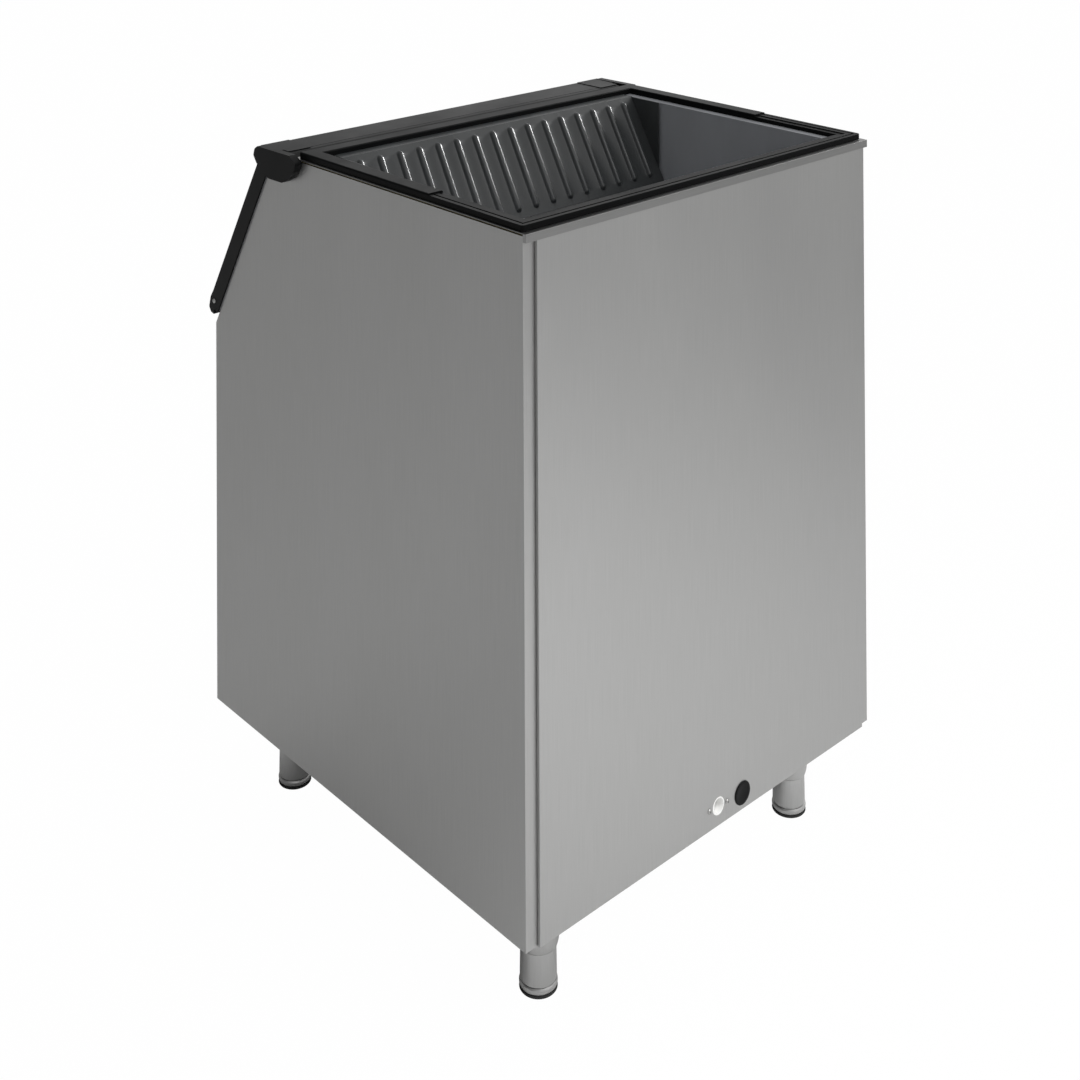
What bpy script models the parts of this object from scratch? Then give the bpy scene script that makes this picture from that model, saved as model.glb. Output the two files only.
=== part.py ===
"""Storage bin of a modular ice maker: steel cabinet on four legs, open top, sloping front door.

The cabinet stands with its door towards -Y and its plain rear panel towards +Y. Everything is laid
out in the cabinet's own frame, whose origin is the middle of the cabinet's underside. An empty lifts
that frame by the height of the legs and shifts it so that the whole object is centred on the origin.
"""

import math

import bmesh
import bpy
from mathutils import Euler, Vector

# Clearances: between pieces that touch, and between pieces that move past each other
GAP = 0.0003
RUNNING = 0.0006

# Cabinet
WIDTH = 0.762
DEPTH = 0.790
HEIGHT = 0.965
LEG_HEIGHT = 0.141
SIDE_SHEET = 0.001
FOLD_INSET = 0.0001
PANEL_SHEET = 0.0012
FRAME_SHEET = 0.0012
FRAME_OVERHANG = 0.0005
SHADOW_GAP = 0.0028
REAR_FLANGE = 0.026
BASE_FLANGE = 0.013
FRONT_RETURN = 0.012
FRONT_HEM = 0.012
PAN_MARGIN = 0.021
PAN_STANDOFF = 0.0055
TRIM_HEIGHT = 0.012
TRIM_FLAP = 0.0012

# Sloping front
SLOPE_DROP = 0.325
SLOPE_START = HEIGHT - SLOPE_DROP
SLOPE_ANGLE = math.radians(60.0)
OPENING_MARGIN = 0.063
OPENING_HALF = WIDTH / 2 - OPENING_MARGIN
OPENING_START = 0.035
OPENING_LENGTH = 0.265
OPENING_RADIUS = 0.012
DOOR_FRAME_SHEET = 0.0027
SEAL_MARGIN = 0.002
SEAL_WIDTH = 0.010
SEAL_HEIGHT = 0.002

# Rim that carries the ice maker
RIM_INSET = 0.003
RIM_REAR_INSET = 0.004
RIM_SETBACK = 0.249
RIM_LENGTH = DEPTH - RIM_SETBACK - RIM_REAR_INSET
RIM_WIDTH = 0.028
RIM_HEIGHT = 0.0107
RIM_ROUNDING = 0.0025
RIM_CORNER = 0.005
RIM_STEP_FROM_REAR = 0.205
RIM_STEP = 0.0022
RIM_OUTER_RIDGE = 0.007
RIM_GROOVE = 0.003
RIM_GROOVE_DEPTH = 0.0022
RIM_INNER_RIDGE = 0.008
RIM_FLAT_DEPTH = 0.0016

# Liner
LINER_WALL = 0.003
LINER_LEDGE = 0.015
LINER_FRONT_LEDGE = 0.013
LINER_FRONT_FOAM = 0.050
LINER_FLOOR_FRONT = 0.076
LINER_FLOOR_REAR = 0.064
LINER_SHOULDER_DROP = 0.080
LINER_SHOULDER = HEIGHT - LINER_SHOULDER_DROP
LINER_LAP = 0.0027
LINER_CORNER = 0.010
JAMB_DEPTH = 0.047
FOAM_REBATE = 0.010
FOAM_REBATE_DEPTH = 0.004

# Baffle
BAFFLE_SIDE_GAP = 0.005
BAFFLE_HALF = WIDTH / 2 - RIM_INSET - RIM_WIDTH - LINER_LEDGE - BAFFLE_SIDE_GAP
BAFFLE_SHEET = 0.002
BAFFLE_ANGLE = math.radians(-60.0)
BAFFLE_SETBACK = 0.0105
BAFFLE_LENGTH = 0.163
BAFFLE_HOOK = 0.023
CHEEK_REACH = 0.0695
BEAD_PITCH = 0.040
BEAD_COUNT = int(2 * BAFFLE_HALF / BEAD_PITCH)
BEAD_START = 0.009
BEAD_LENGTH = 0.143
BEAD_RADIUS = 0.006

# Hinge
PIVOT_DROP = 0.014
PIVOT_SETBACK = 0.033
BARREL_RADIUS = 0.018
BARREL_OPENING = math.radians(-60.0)
HEADER_CLEARANCE = 0.004
OPEN_HOOD_ROOM = 0.0065
PIN_RADIUS = 0.004
PIN_LENGTH = 0.039
BUSH_RADIUS = 0.007
BUSH_LENGTH = 0.0237
HINGE_PLATE = 0.003
HINGE_PLATE_SIDE_GAP = 0.0007
HINGE_PLATE_FRONT = 0.026
HINGE_PLATE_REAR = 0.016
HINGE_PLATE_RISE = 0.0095

# Door
DOOR_WALL = 0.003
DOOR_THICKNESS = 0.0287
DOOR_SIDE_REACH = 0.003
DOOR_START = 0.020
DOOR_TOP_WALL = 0.339
DOOR_PANEL = 0.003
DOOR_PLUG_DEPTH = 0.008
DOOR_PLUG_MARGIN = 0.006
NOSE_LENGTH = 0.078
NOSE_RADIUS = 0.012
HOOD_CUTBACK = 0.006
HOOD_END_CUTBACK = 0.014
HOOD_RIB_SPACING = 0.120
HOOD_RIB = 0.0025
GRIP = (
    (0.0456, 0.0310, 0.006),
    (0.0300, 0.0323, 0.008),
    (0.0118, 0.0276, 0.004),
    (0.0079, 0.0184, 0.003),
    (0.0111, 0.0087, 0.001),
    (0.0198, 0.0137, 0.002),
)

# End caps of the door
CAP_CLEARANCE = 0.0008
CAP_THICKNESS = 0.0132
CAP_BORE_WALL = 0.0037
CAP_ROUNDING = 0.002
CAP_TONGUE = 0.0008
CAP_TONGUE_LENGTH = 0.052
CAP_OUTLINE = (
    (-0.075, 0.003, 0.004),
    (-0.0716, 0.014, 0.006),
    (-0.063, 0.0196, 0.004),
    (0.029, 0.0207, 0.005),
    (0.049, 0.0106, 0.005),
    (0.041, -0.004, 0.008),
    (0.027, -0.018, 0.008),
    (0.009, -0.0264, 0.006),
    (-0.028, -0.027, 0.010),
    (-0.046, -0.023, 0.008),
    (-0.066, -0.008, 0.008),
)
DOOR_SCREW_ALONG = 0.0315
DOOR_SCREW_OUT = 0.0194

# Legs
LEG_FROM_SIDE = 0.100
LEG_FROM_END = 0.086
COLLAR_TOP_RADIUS = 0.0305
COLLAR_SHOULDER_RADIUS = 0.030
COLLAR_BOTTOM_RADIUS = 0.0272
COLLAR_SHOULDER = 0.011
COLLAR_HEIGHT = 0.080
COLLAR_SPIGOT = 0.015
LEG_STUD_RADIUS = 0.006
TUBE_RADIUS = 0.0265
TUBE_WALL = 0.002
TUBE_WEB = 0.012
FOOT_RADIUS = 0.0278
FOOT_HEIGHT = 0.010
FOOT_STUD_RADIUS = 0.008
PAD_RADIUS = 0.0276
PAD_HEIGHT = 0.0035
FOOT_STUD_ROOM = 0.0023
FOOT_STUD_LENGTH = LEG_HEIGHT - COLLAR_HEIGHT - COLLAR_SPIGOT - PAD_HEIGHT - FOOT_HEIGHT - FOOT_STUD_ROOM
PLATE_SIZE = 0.080
PLATE_THICKNESS = 0.004

# Drain
DRAIN_X = -0.0027
DRAIN_HEIGHT = 0.0294
DRAIN_FROM_REAR = 0.095
DRAIN_PIPE_RADIUS = 0.013
DRAIN_PIPE_WALL = 0.002
DRAIN_BEND = 0.022
SUMP_RADIUS = 0.034
SUMP_DEPTH = 0.006
FITTING_FLANGE = 0.024
FITTING_FLANGE_THICKNESS = 0.0025
FITTING_WALL = 0.0022
STRAINER_RADIUS = 0.021
STRAINER_SHEET = 0.0015
STRAINER_SLOTS = 6
OUTLET_SCREWS = {"left": (-0.0227, 0.0275), "right": (0.0174, 0.0300)}
SCREW_HEAD_RADIUS = 0.004
SCREW_HEAD_HEIGHT = 0.0018
SCREW_SHANK_RADIUS = 0.0018
OUTLET_SCREW_LENGTH = 0.010
PLUG_X = -0.057
PLUG_HEIGHT = 0.0253
PLUG_HEAD_RADIUS = 0.0175
PLUG_HOLE_RADIUS = 0.015
PLUG_HEAD_HEIGHT = 0.0012

# Sides of round pieces, of fillets and of pressed beads
ROUND_STEPS = 24
SMALL_STEPS = 16
SCREW_STEPS = 12
FILLET_STEPS = 3
BEAD_SEGMENTS = 8
BEAD_RINGS = 5
BEYOND = 0.05

# Looks: base colour, roughness and metallic value
STEEL = ((0.56, 0.57, 0.58), 0.34, 1.0)
PLATED = ((0.62, 0.62, 0.60), 0.40, 1.0)
DARK_PLASTIC = ((0.018, 0.019, 0.021), 0.50, 0.0)
HOOD_PLASTIC = ((0.060, 0.063, 0.068), 0.48, 0.0)
LINER_PLASTIC = ((0.085, 0.092, 0.095), 0.45, 0.0)
BAFFLE_PLASTIC = ((0.115, 0.130, 0.133), 0.42, 0.0)
WHITE_PLASTIC = ((0.78, 0.78, 0.76), 0.40, 0.0)
FOAM = ((0.72, 0.66, 0.45), 0.90, 0.0)
RUBBER = ((0.020, 0.020, 0.020), 0.75, 0.0)

# Levels and faces that follow from the sizes
HALF = WIDTH / 2
FRONT = -DEPTH / 2
BACK = DEPTH / 2
INSIDE = HALF - SIDE_SHEET
SIDE_TOP = HEIGHT - FRAME_SHEET - SHADOW_GAP
PAN_OUT = BACK + PAN_STANDOFF
TRIM_OUT = PAN_OUT + GAP + FRAME_SHEET
RIM_HALF = HALF - RIM_INSET
RIM_REAR = BACK - RIM_REAR_INSET
RIM_FRONT = RIM_REAR - RIM_LENGTH
RIM_BOTTOM = HEIGHT + GAP
RIM_TOP = RIM_BOTTOM + RIM_HEIGHT
SEAT_HALF = RIM_HALF - RIM_WIDTH
SEAT_REAR = RIM_REAR - RIM_WIDTH
SEAT_FRONT = RIM_FRONT + RIM_WIDTH
CAVITY_HALF = SEAT_HALF - LINER_LEDGE
CAVITY_REAR = SEAT_REAR - LINER_LEDGE
CAVITY_MOUTH = SEAT_FRONT + LINER_FRONT_LEDGE
CAVITY_FRONT = FRONT + LINER_FRONT_FOAM
OPENING_END = OPENING_START + OPENING_LENGTH
PIVOT_Y = RIM_FRONT - PIVOT_SETBACK
PIVOT_Z = HEIGHT - PIVOT_DROP
HOOD_TOP = PIVOT_Z + BARREL_RADIUS
NOSE = PIVOT_Y - NOSE_LENGTH
HEADER_TOP = PIVOT_Z - BARREL_RADIUS - HEADER_CLEARANCE
HEADER_BACK = PIVOT_Y + BARREL_RADIUS + CAP_TONGUE + OPEN_HOOD_ROOM
FRAME_BOTTOM = FRONT_HEM + GAP
FRAME_BACK = GAP + DOOR_FRAME_SHEET
DOOR_BACK = SEAL_HEIGHT + GAP
DOOR_OUT = DOOR_BACK + DOOR_THICKNESS
DOOR_HALF = HALF + DOOR_SIDE_REACH
PLATE_OUT = INSIDE - HINGE_PLATE_SIDE_GAP
PLATE_IN = PLATE_OUT - HINGE_PLATE
BARREL_END = PLATE_IN - RUNNING
CAP_IN = HALF + CAP_CLEARANCE
CAP_OUT = CAP_IN + CAP_THICKNESS
LEG_X = HALF - LEG_FROM_SIDE
LEG_Y = BACK - LEG_FROM_END
DRAIN_Y = BACK - DRAIN_FROM_REAR


def clear_scene():
    """Remove every object and leave the modelling settings as they are."""
    for item in list(bpy.data.objects):
        bpy.data.objects.remove(item, do_unlink=True)


def new_collection(name):
    """Add a collection to the scene."""
    collection = bpy.data.collections.new(name)
    bpy.context.scene.collection.children.link(collection)
    return collection


clear_scene()
PARTS = new_collection("ice_storage_bin")
CUTTERS = new_collection("cutters")


def add_empty(name, location, parent=None):
    """Add an empty that carries pieces."""
    empty = bpy.data.objects.new(name, None)
    PARTS.objects.link(empty)
    empty.empty_display_size = 0.05
    empty.location = location
    empty.parent = parent
    return empty


CABINET = add_empty("cabinet_frame", (0.0, 0.0, LEG_HEIGHT))

# Planes in which outlines are drawn: origin and turn
SECTION = (Vector((0.0, 0.0, 0.0)), Euler((math.radians(90.0), 0.0, math.radians(90.0))))
PLAN = (Vector((0.0, 0.0, 0.0)), Euler((0.0, 0.0, 0.0)))
SLOPE = (Vector((0.0, FRONT, SLOPE_START)), Euler((SLOPE_ANGLE, 0.0, 0.0)))
BAFFLE_TOP = (CAVITY_MOUTH + BAFFLE_SETBACK, HEIGHT + BAFFLE_SHEET)
BAFFLE = (Vector((0.0, BAFFLE_TOP[0], BAFFLE_TOP[1])), Euler((BAFFLE_ANGLE, 0.0, 0.0)))
ALONG_X = Euler((0.0, math.radians(90.0), 0.0))
AGAINST_X = Euler((0.0, math.radians(-90.0), 0.0))
ALONG_Y = Euler((math.radians(-90.0), 0.0, 0.0))
UPRIGHT = Euler((0.0, 0.0, 0.0))


def slope_point(along, out):
    """Y and Z of a point measured along the sloping face and outwards from it."""
    y = FRONT + along * math.cos(SLOPE_ANGLE) - out * math.sin(SLOPE_ANGLE)
    z = SLOPE_START + along * math.sin(SLOPE_ANGLE) + out * math.cos(SLOPE_ANGLE)
    return (y, z)


def slope_at_height(z, out):
    """Point at a given height on the plane that lies a given distance outside the sloping face."""
    along = (z - SLOPE_START - out * math.cos(SLOPE_ANGLE)) / math.sin(SLOPE_ANGLE)
    return slope_point(along, out)


def slope_at_depth(y, out):
    """Point at a given Y on the plane that lies a given distance outside the sloping face."""
    along = (y - FRONT + out * math.sin(SLOPE_ANGLE)) / math.cos(SLOPE_ANGLE)
    return slope_point(along, out)


def baffle_point(down, out):
    """Y and Z of a point measured down the baffle and outwards from its ribbed face."""
    y = BAFFLE_TOP[0] + down * math.cos(BAFFLE_ANGLE) - out * math.sin(BAFFLE_ANGLE)
    z = BAFFLE_TOP[1] + down * math.sin(BAFFLE_ANGLE) + out * math.cos(BAFFLE_ANGLE)
    return (y, z)


def baffle_at_height(z, out):
    """Point at a given height on a plane parallel to the baffle."""
    down = (z - BAFFLE_TOP[1] - out * math.cos(BAFFLE_ANGLE)) / math.sin(BAFFLE_ANGLE)
    return baffle_point(down, out)


def baffle_at_depth(y, out):
    """Point at a given Y on a plane parallel to the baffle."""
    down = (y - BAFFLE_TOP[0] + out * math.sin(BAFFLE_ANGLE)) / math.cos(BAFFLE_ANGLE)
    return baffle_point(down, out)


def rounded(corners, steps=FILLET_STEPS):
    """Outline through corners given as (a, b, radius), with an arc at each corner that has a radius."""
    points = []
    count = len(corners)
    for index, (a, b, radius) in enumerate(corners):
        here = Vector((a, b))
        if radius <= 0:
            points.append((a, b))
            continue
        back = Vector(corners[index - 1][:2]) - here
        ahead = Vector(corners[(index + 1) % count][:2]) - here
        half_angle = back.angle(ahead) / 2
        reach = min(radius / math.tan(half_angle), 0.49 * back.length, 0.49 * ahead.length)
        radius = reach * math.tan(half_angle)
        middle = (back.normalized() + ahead.normalized()).normalized()
        centre = here + middle * (radius / math.sin(half_angle))
        start = here + back.normalized() * reach - centre
        sweep = start.angle_signed(here + ahead.normalized() * reach - centre)
        for step in range(steps + 1):
            turned_by = -sweep * step / steps
            cos, sin = math.cos(turned_by), math.sin(turned_by)
            points.append((
                centre.x + start.x * cos - start.y * sin,
                centre.y + start.x * sin + start.y * cos,
            ))
    return points


def offset(points, distance):
    """Outline moved outwards by a distance, with mitred corners."""
    count = len(points)
    area = sum(
        points[i - 1][0] * points[i][1] - points[i][0] * points[i - 1][1] for i in range(count)
    )
    side = 1.0 if area > 0 else -1.0
    moved = []
    for index in range(count):
        here = Vector(points[index])
        first = (here - Vector(points[index - 1])).normalized()
        second = (Vector(points[(index + 1) % count]) - here).normalized()
        normal_a = Vector((first.y, -first.x)) * side
        normal_b = Vector((second.y, -second.x)) * side
        bisector = (normal_a + normal_b).normalized()
        moved.append(tuple(here + bisector * (distance / bisector.dot(normal_a))))
    return moved


def rectangle(low_a, low_b, high_a, high_b, radius=0.0):
    """Outline of a rectangle with round corners."""
    return rounded((
        (low_a, low_b, radius),
        (high_a, low_b, radius),
        (high_a, high_b, radius),
        (low_a, high_b, radius),
    ))


def arc(centre, radius, start, end, steps):
    """Points on an arc in the section plane, its angles measured from +Y towards +Z."""
    points = []
    for step in range(steps + 1):
        angle = start + (end - start) * step / steps
        points.append((centre[0] + radius * math.cos(angle), centre[1] + radius * math.sin(angle)))
    return points


def link_mesh(name, mesh, location, turn, parent=None):
    """Add a mesh object that hangs on the cabinet's frame."""
    item = bpy.data.objects.new(name, mesh)
    PARTS.objects.link(item)
    item.parent = parent if parent else CABINET
    item.rotation_euler = turn
    item.location = location
    return item


def weld(mesh):
    """Weld a mesh's seams and turn its faces outwards."""
    cage = bmesh.new()
    cage.from_mesh(mesh)
    bmesh.ops.remove_doubles(cage, verts=cage.verts, dist=0.000001)
    bmesh.ops.recalc_face_normals(cage, faces=cage.faces)
    cage.to_mesh(mesh)
    cage.free()


def curve_to_mesh(name, curve, location, turn):
    """Turn a curve into a mesh object in the same place."""
    guide = bpy.data.objects.new(name + "_guide", curve)
    PARTS.objects.link(guide)
    guide.rotation_euler = turn
    guide.location = location
    depsgraph = bpy.context.evaluated_depsgraph_get()
    mesh = bpy.data.meshes.new_from_object(guide.evaluated_get(depsgraph), depsgraph=depsgraph)
    weld(mesh)
    item = bpy.data.objects.new(name, mesh)
    PARTS.objects.link(item)
    item.matrix_world = guide.matrix_world
    item.parent = CABINET
    bpy.data.objects.remove(guide, do_unlink=True)
    return item


def prism(name, outline, low, high, plane, holes=()):
    """Solid between two levels over a flat outline with holes, drawn in a plane."""
    curve = bpy.data.curves.new(name, "CURVE")
    curve.dimensions = "2D"
    curve.fill_mode = "BOTH"
    curve.extrude = (high - low) / 2
    for loop in (outline, *holes):
        spline = curve.splines.new("POLY")
        spline.points.add(len(loop) - 1)
        for point, (a, b) in zip(spline.points, loop):
            point.co = (a, b, 0.0, 1.0)
        spline.use_cyclic_u = True
    origin, turn = plane
    location = origin + turn.to_matrix() @ Vector((0.0, 0.0, (low + high) / 2))
    return curve_to_mesh(name, curve, location, turn)


def tube(name, path, radius):
    """Round bar along a path of straight runs and arcs in the section plane through the drain."""
    curve = bpy.data.curves.new(name, "CURVE")
    curve.dimensions = "3D"
    curve.bevel_depth = radius
    curve.bevel_resolution = 6
    curve.use_fill_caps = True
    spline = curve.splines.new("POLY")
    spline.points.add(len(path) - 1)
    for point, (y, z) in zip(spline.points, path):
        point.co = (DRAIN_X, y, z, 1.0)
    return curve_to_mesh(name, curve, Vector((0.0, 0.0, 0.0)), UPRIGHT)


def box(name, low, high, plane=PLAN):
    """Box between two corners, given in a plane's own directions."""
    low = Vector(low)
    high = Vector(high)
    cage = bmesh.new()
    bmesh.ops.create_cube(cage, size=1.0)
    bmesh.ops.scale(cage, verts=cage.verts, vec=high - low)
    mesh = bpy.data.meshes.new(name)
    cage.to_mesh(mesh)
    cage.free()
    origin, turn = plane
    return link_mesh(name, mesh, origin + turn.to_matrix() @ ((low + high) / 2), turn)


def cylinder(name, radius, low, high, centre, turn, steps=ROUND_STEPS):
    """Round bar between two levels along its axis."""
    cage = bmesh.new()
    bmesh.ops.create_cone(
        cage, cap_ends=True, segments=steps, radius1=radius, radius2=radius, depth=high - low,
    )
    mesh = bpy.data.meshes.new(name)
    cage.to_mesh(mesh)
    cage.free()
    location = Vector(centre) + turn.to_matrix() @ Vector((0.0, 0.0, (low + high) / 2))
    return link_mesh(name, mesh, location, turn)


def turned(name, profile, centre, turn, closed=False, steps=ROUND_STEPS):
    """Turned piece from a profile of (radius, height) that runs down its outer side."""
    mesh = bpy.data.meshes.new(name)
    edges = [(index, index + 1) for index in range(len(profile) - 1)]
    if closed:
        edges.append((len(profile) - 1, 0))
    mesh.from_pydata([(radius, 0.0, height) for radius, height in profile], edges, [])
    item = link_mesh(name, mesh, centre, turn)
    screw = item.modifiers.new("turned", "SCREW")
    screw.axis = "Z"
    screw.steps = steps
    screw.render_steps = steps
    screw.use_merge_vertices = True
    screw.merge_threshold = 0.00001
    return item


def combine(target, tool, operation):
    """Join a shape to a piece or cut it away, and keep the shape as a hidden tool."""
    modifier = target.modifiers.new(tool.name, "BOOLEAN")
    modifier.operation = operation
    modifier.solver = "EXACT"
    modifier.object = tool
    PARTS.objects.unlink(tool)
    CUTTERS.objects.link(tool)
    tool.hide_render = True
    tool.display_type = "WIRE"


def join(target, *tools):
    """Join shapes to a piece."""
    for tool in tools:
        combine(target, tool, "UNION")


def cut(target, *tools):
    """Cut shapes out of a piece."""
    for tool in tools:
        combine(target, tool, "DIFFERENCE")


def ease_edges(item, width, segments=2, angle=math.radians(40.0)):
    """Round the sharp edges of a piece."""
    bevel = item.modifiers.new("eased", "BEVEL")
    bevel.width = width
    bevel.segments = segments
    bevel.limit_method = "ANGLE"
    bevel.angle_limit = angle


def hang(item, pivot):
    """Hang a piece and its tools on an empty, without moving them."""
    item.location = item.location - pivot.location
    item.parent = pivot
    for modifier in item.modifiers:
        if modifier.type == "BOOLEAN":
            hang(modifier.object, pivot)


def finish(item, look, pivot=None):
    """Give a piece its own material and, on a moving body, its pivot."""
    colour, roughness, metallic = look
    material = bpy.data.materials.new(item.name)
    material.use_nodes = True
    shader = material.node_tree.nodes["Principled BSDF"]
    shader.inputs["Base Color"].default_value = (*colour, 1.0)
    shader.inputs["Roughness"].default_value = roughness
    shader.inputs["Metallic"].default_value = metallic
    material.diffuse_color = (*colour, 1.0)
    item.data.materials.clear()
    item.data.materials.append(material)
    item.data.shade_smooth()
    item.data.set_sharp_from_angle(angle=math.radians(35.0))
    if pivot:
        hang(item, pivot)
    return item


def mirrored(side, low, high):
    """Range along X for a side, +1 or -1."""
    return (low, high) if side > 0 else (-high, -low)


SIDES = (("left", -1), ("right", 1))


def make_side_panels():
    """Side sheets with a rear flange, a bottom flange and a hole for the hinge pin."""
    outline = (
        (FRONT, 0.0),
        (BACK, 0.0),
        (BACK, SIDE_TOP),
        slope_at_height(SIDE_TOP, 0.0),
        (FRONT, SLOPE_START),
    )
    for side_name, side in SIDES:
        name = "side_panel_" + side_name
        panel = prism(name, outline, *mirrored(side, INSIDE, HALF), SECTION)
        flange = mirrored(side, HALF - REAR_FLANGE, HALF - FOLD_INSET)
        rear = box(
            name + "_rear",
            (flange[0], BACK - SIDE_SHEET, SIDE_SHEET / 2),
            (flange[1], BACK - FOLD_INSET, SIDE_TOP - FOLD_INSET),
        )
        foot = mirrored(side, HALF - BASE_FLANGE, HALF - FOLD_INSET)
        base = box(
            name + "_foot",
            (foot[0], FRONT + FOLD_INSET, FOLD_INSET),
            (foot[1], BACK - SIDE_SHEET / 2, SIDE_SHEET),
        )
        join(panel, rear, base)
        hole = cylinder(
            name + "_hole", PIN_RADIUS + GAP, -BEYOND, BEYOND, (side * HALF, PIVOT_Y, PIVOT_Z),
            ALONG_X, SMALL_STEPS,
        )
        cut(panel, hole)
        finish(panel, STEEL)


def make_rear_panel():
    """Shallow pan on the rear flanges, with the holes of the drain."""
    half = HALF - PAN_MARGIN
    top = SIDE_TOP
    panel = box("rear_panel", (-half, BACK + GAP, 0.0), (half, PAN_OUT, top))
    hollow = box(
        "rear_panel_hollow",
        (-half + PANEL_SHEET, BACK - BEYOND, PANEL_SHEET),
        (half - PANEL_SHEET, PAN_OUT - PANEL_SHEET, top - PANEL_SHEET),
    )
    pipe = cylinder(
        "rear_panel_pipe_hole", DRAIN_PIPE_RADIUS + GAP, -BEYOND, BEYOND,
        (DRAIN_X, PAN_OUT, DRAIN_HEIGHT), ALONG_Y,
    )
    plug = cylinder(
        "rear_panel_plug_hole", PLUG_HOLE_RADIUS, -BEYOND, BEYOND,
        (PLUG_X, PAN_OUT, PLUG_HEIGHT), ALONG_Y,
    )
    cut(panel, hollow, pipe, plug)
    for side_name, (x, z) in OUTLET_SCREWS.items():
        hole = cylinder(
            "rear_panel_screw_hole_" + side_name, SCREW_SHANK_RADIUS + GAP, -BEYOND, BEYOND,
            (x, PAN_OUT, z), ALONG_Y, SCREW_STEPS,
        )
        cut(panel, hole)
    finish(panel, STEEL)


def make_front_panel():
    """Front sheet with side returns and a hem that lies on the slope."""
    inner = FRONT + PANEL_SHEET
    hem_back = -(GAP + PANEL_SHEET)
    outline = (
        (FRONT, 0.0),
        slope_at_depth(FRONT, -GAP),
        slope_point(FRONT_HEM, -GAP),
        slope_point(FRONT_HEM, hem_back),
        slope_at_depth(inner, hem_back),
        (inner, 0.0),
    )
    half = INSIDE - GAP
    panel = prism("front_panel", outline, -half, half, SECTION)
    return_top = slope_at_depth(FRONT, -FRAME_BACK)[1] - PANEL_SHEET
    for side_name, side in SIDES:
        reach = mirrored(side, half - PANEL_SHEET, half)
        returned = box(
            "front_panel_return_" + side_name,
            (reach[0], FRONT, SIDE_SHEET + GAP),
            (reach[1], FRONT + FRONT_RETURN, return_top),
        )
        join(panel, returned)
        notch_reach = mirrored(side, HALF - BASE_FLANGE - GAP, half + BEYOND)
        notch = box(
            "front_panel_notch_" + side_name,
            (notch_reach[0], FRONT - BEYOND, -BEYOND),
            (notch_reach[1], FRONT + BEYOND, SIDE_SHEET + GAP),
        )
        cut(panel, notch)
    finish(panel, STEEL)


def make_base_panel():
    """Floor sheet between the bottom flanges, with the holes of the leg studs."""
    half = HALF - BASE_FLANGE - GAP
    rear = BACK - SIDE_SHEET - GAP
    panel = box(
        "base_panel", (-half, FRONT + PANEL_SHEET + GAP, 0.0), (half, rear, PANEL_SHEET),
    )
    for name, x, y in leg_places():
        hole = cylinder(
            "base_panel_hole_" + name, LEG_STUD_RADIUS + GAP, -BEYOND, BEYOND,
            (x, y, 0.0), UPRIGHT, SMALL_STEPS,
        )
        cut(panel, hole)
    finish(panel, STEEL)


def make_top_frame():
    """Steel ring round the mouth of the bin, with a trim that laps over the rear panel."""
    half = HALF + FRAME_OVERHANG
    front = HEADER_BACK - RUNNING - FRAME_SHEET
    seat_half = SEAT_HALF + LINER_LAP + GAP
    frame = prism(
        "top_frame",
        rectangle(-half, front, half, TRIM_OUT),
        HEIGHT - FRAME_SHEET,
        HEIGHT,
        PLAN,
        holes=(rectangle(
            -seat_half, SEAT_FRONT - LINER_LAP - GAP, seat_half, SEAT_REAR + LINER_LAP + GAP,
        ),),
    )
    bottom = HEIGHT - TRIM_HEIGHT
    trim = box("top_frame_trim", (-half, TRIM_OUT - FRAME_SHEET, bottom), (half, TRIM_OUT, HEIGHT))
    join(frame, trim)
    for side_name, side in SIDES:
        reach = mirrored(side, half - TRIM_FLAP, half)
        flap = box(
            "top_frame_flap_" + side_name,
            (reach[0], BACK + GAP, bottom),
            (reach[1], TRIM_OUT, HEIGHT),
        )
        join(frame, flap)
    finish(frame, STEEL)


def cavity_outline():
    """Section of the space for the ice, up to the mouth."""
    low = -JAMB_DEPTH
    return (
        (CAVITY_REAR, HEIGHT),
        (CAVITY_REAR, LINER_FLOOR_REAR),
        (CAVITY_FRONT, LINER_FLOOR_FRONT),
        slope_at_depth(CAVITY_FRONT, low),
        slope_at_height(LINER_SHOULDER, low),
        (CAVITY_MOUTH, LINER_SHOULDER),
        (CAVITY_MOUTH, HEIGHT),
    )


def raised_top(outline, height):
    """The same section with its top moved to another height."""
    return [(y, height if z >= HEIGHT else z) for y, z in outline]


def sump_floor():
    """Height of the sump's floor."""
    slope = (LINER_FLOOR_FRONT - LINER_FLOOR_REAR) / (CAVITY_REAR - CAVITY_FRONT)
    return LINER_FLOOR_REAR + slope * (CAVITY_REAR - DRAIN_Y) - SUMP_DEPTH


def liner_body(name, grow):
    """Outer shape of the liner, grown by a clearance where the foam is cut for it."""
    wall = LINER_WALL + grow
    shape = prism(
        name,
        raised_top(offset(cavity_outline(), wall), HEIGHT + (BEYOND if grow else -LINER_WALL / 2)),
        -CAVITY_HALF - wall,
        CAVITY_HALF + wall,
        SECTION,
    )
    floor = sump_floor()
    sump = cylinder(
        name + "_sump", SUMP_RADIUS + wall, floor - wall, floor + SUMP_DEPTH - LINER_WALL / 2,
        (DRAIN_X, DRAIN_Y, 0.0), UPRIGHT,
    )
    throat = box(
        name + "_throat",
        (-OPENING_HALF - wall, OPENING_START - wall, -JAMB_DEPTH + LINER_WALL / 2),
        (OPENING_HALF + wall, OPENING_END + wall, (BEYOND if grow else -FRAME_BACK - GAP)),
        SLOPE,
    )
    join(shape, sump, throat)
    return shape


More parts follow.
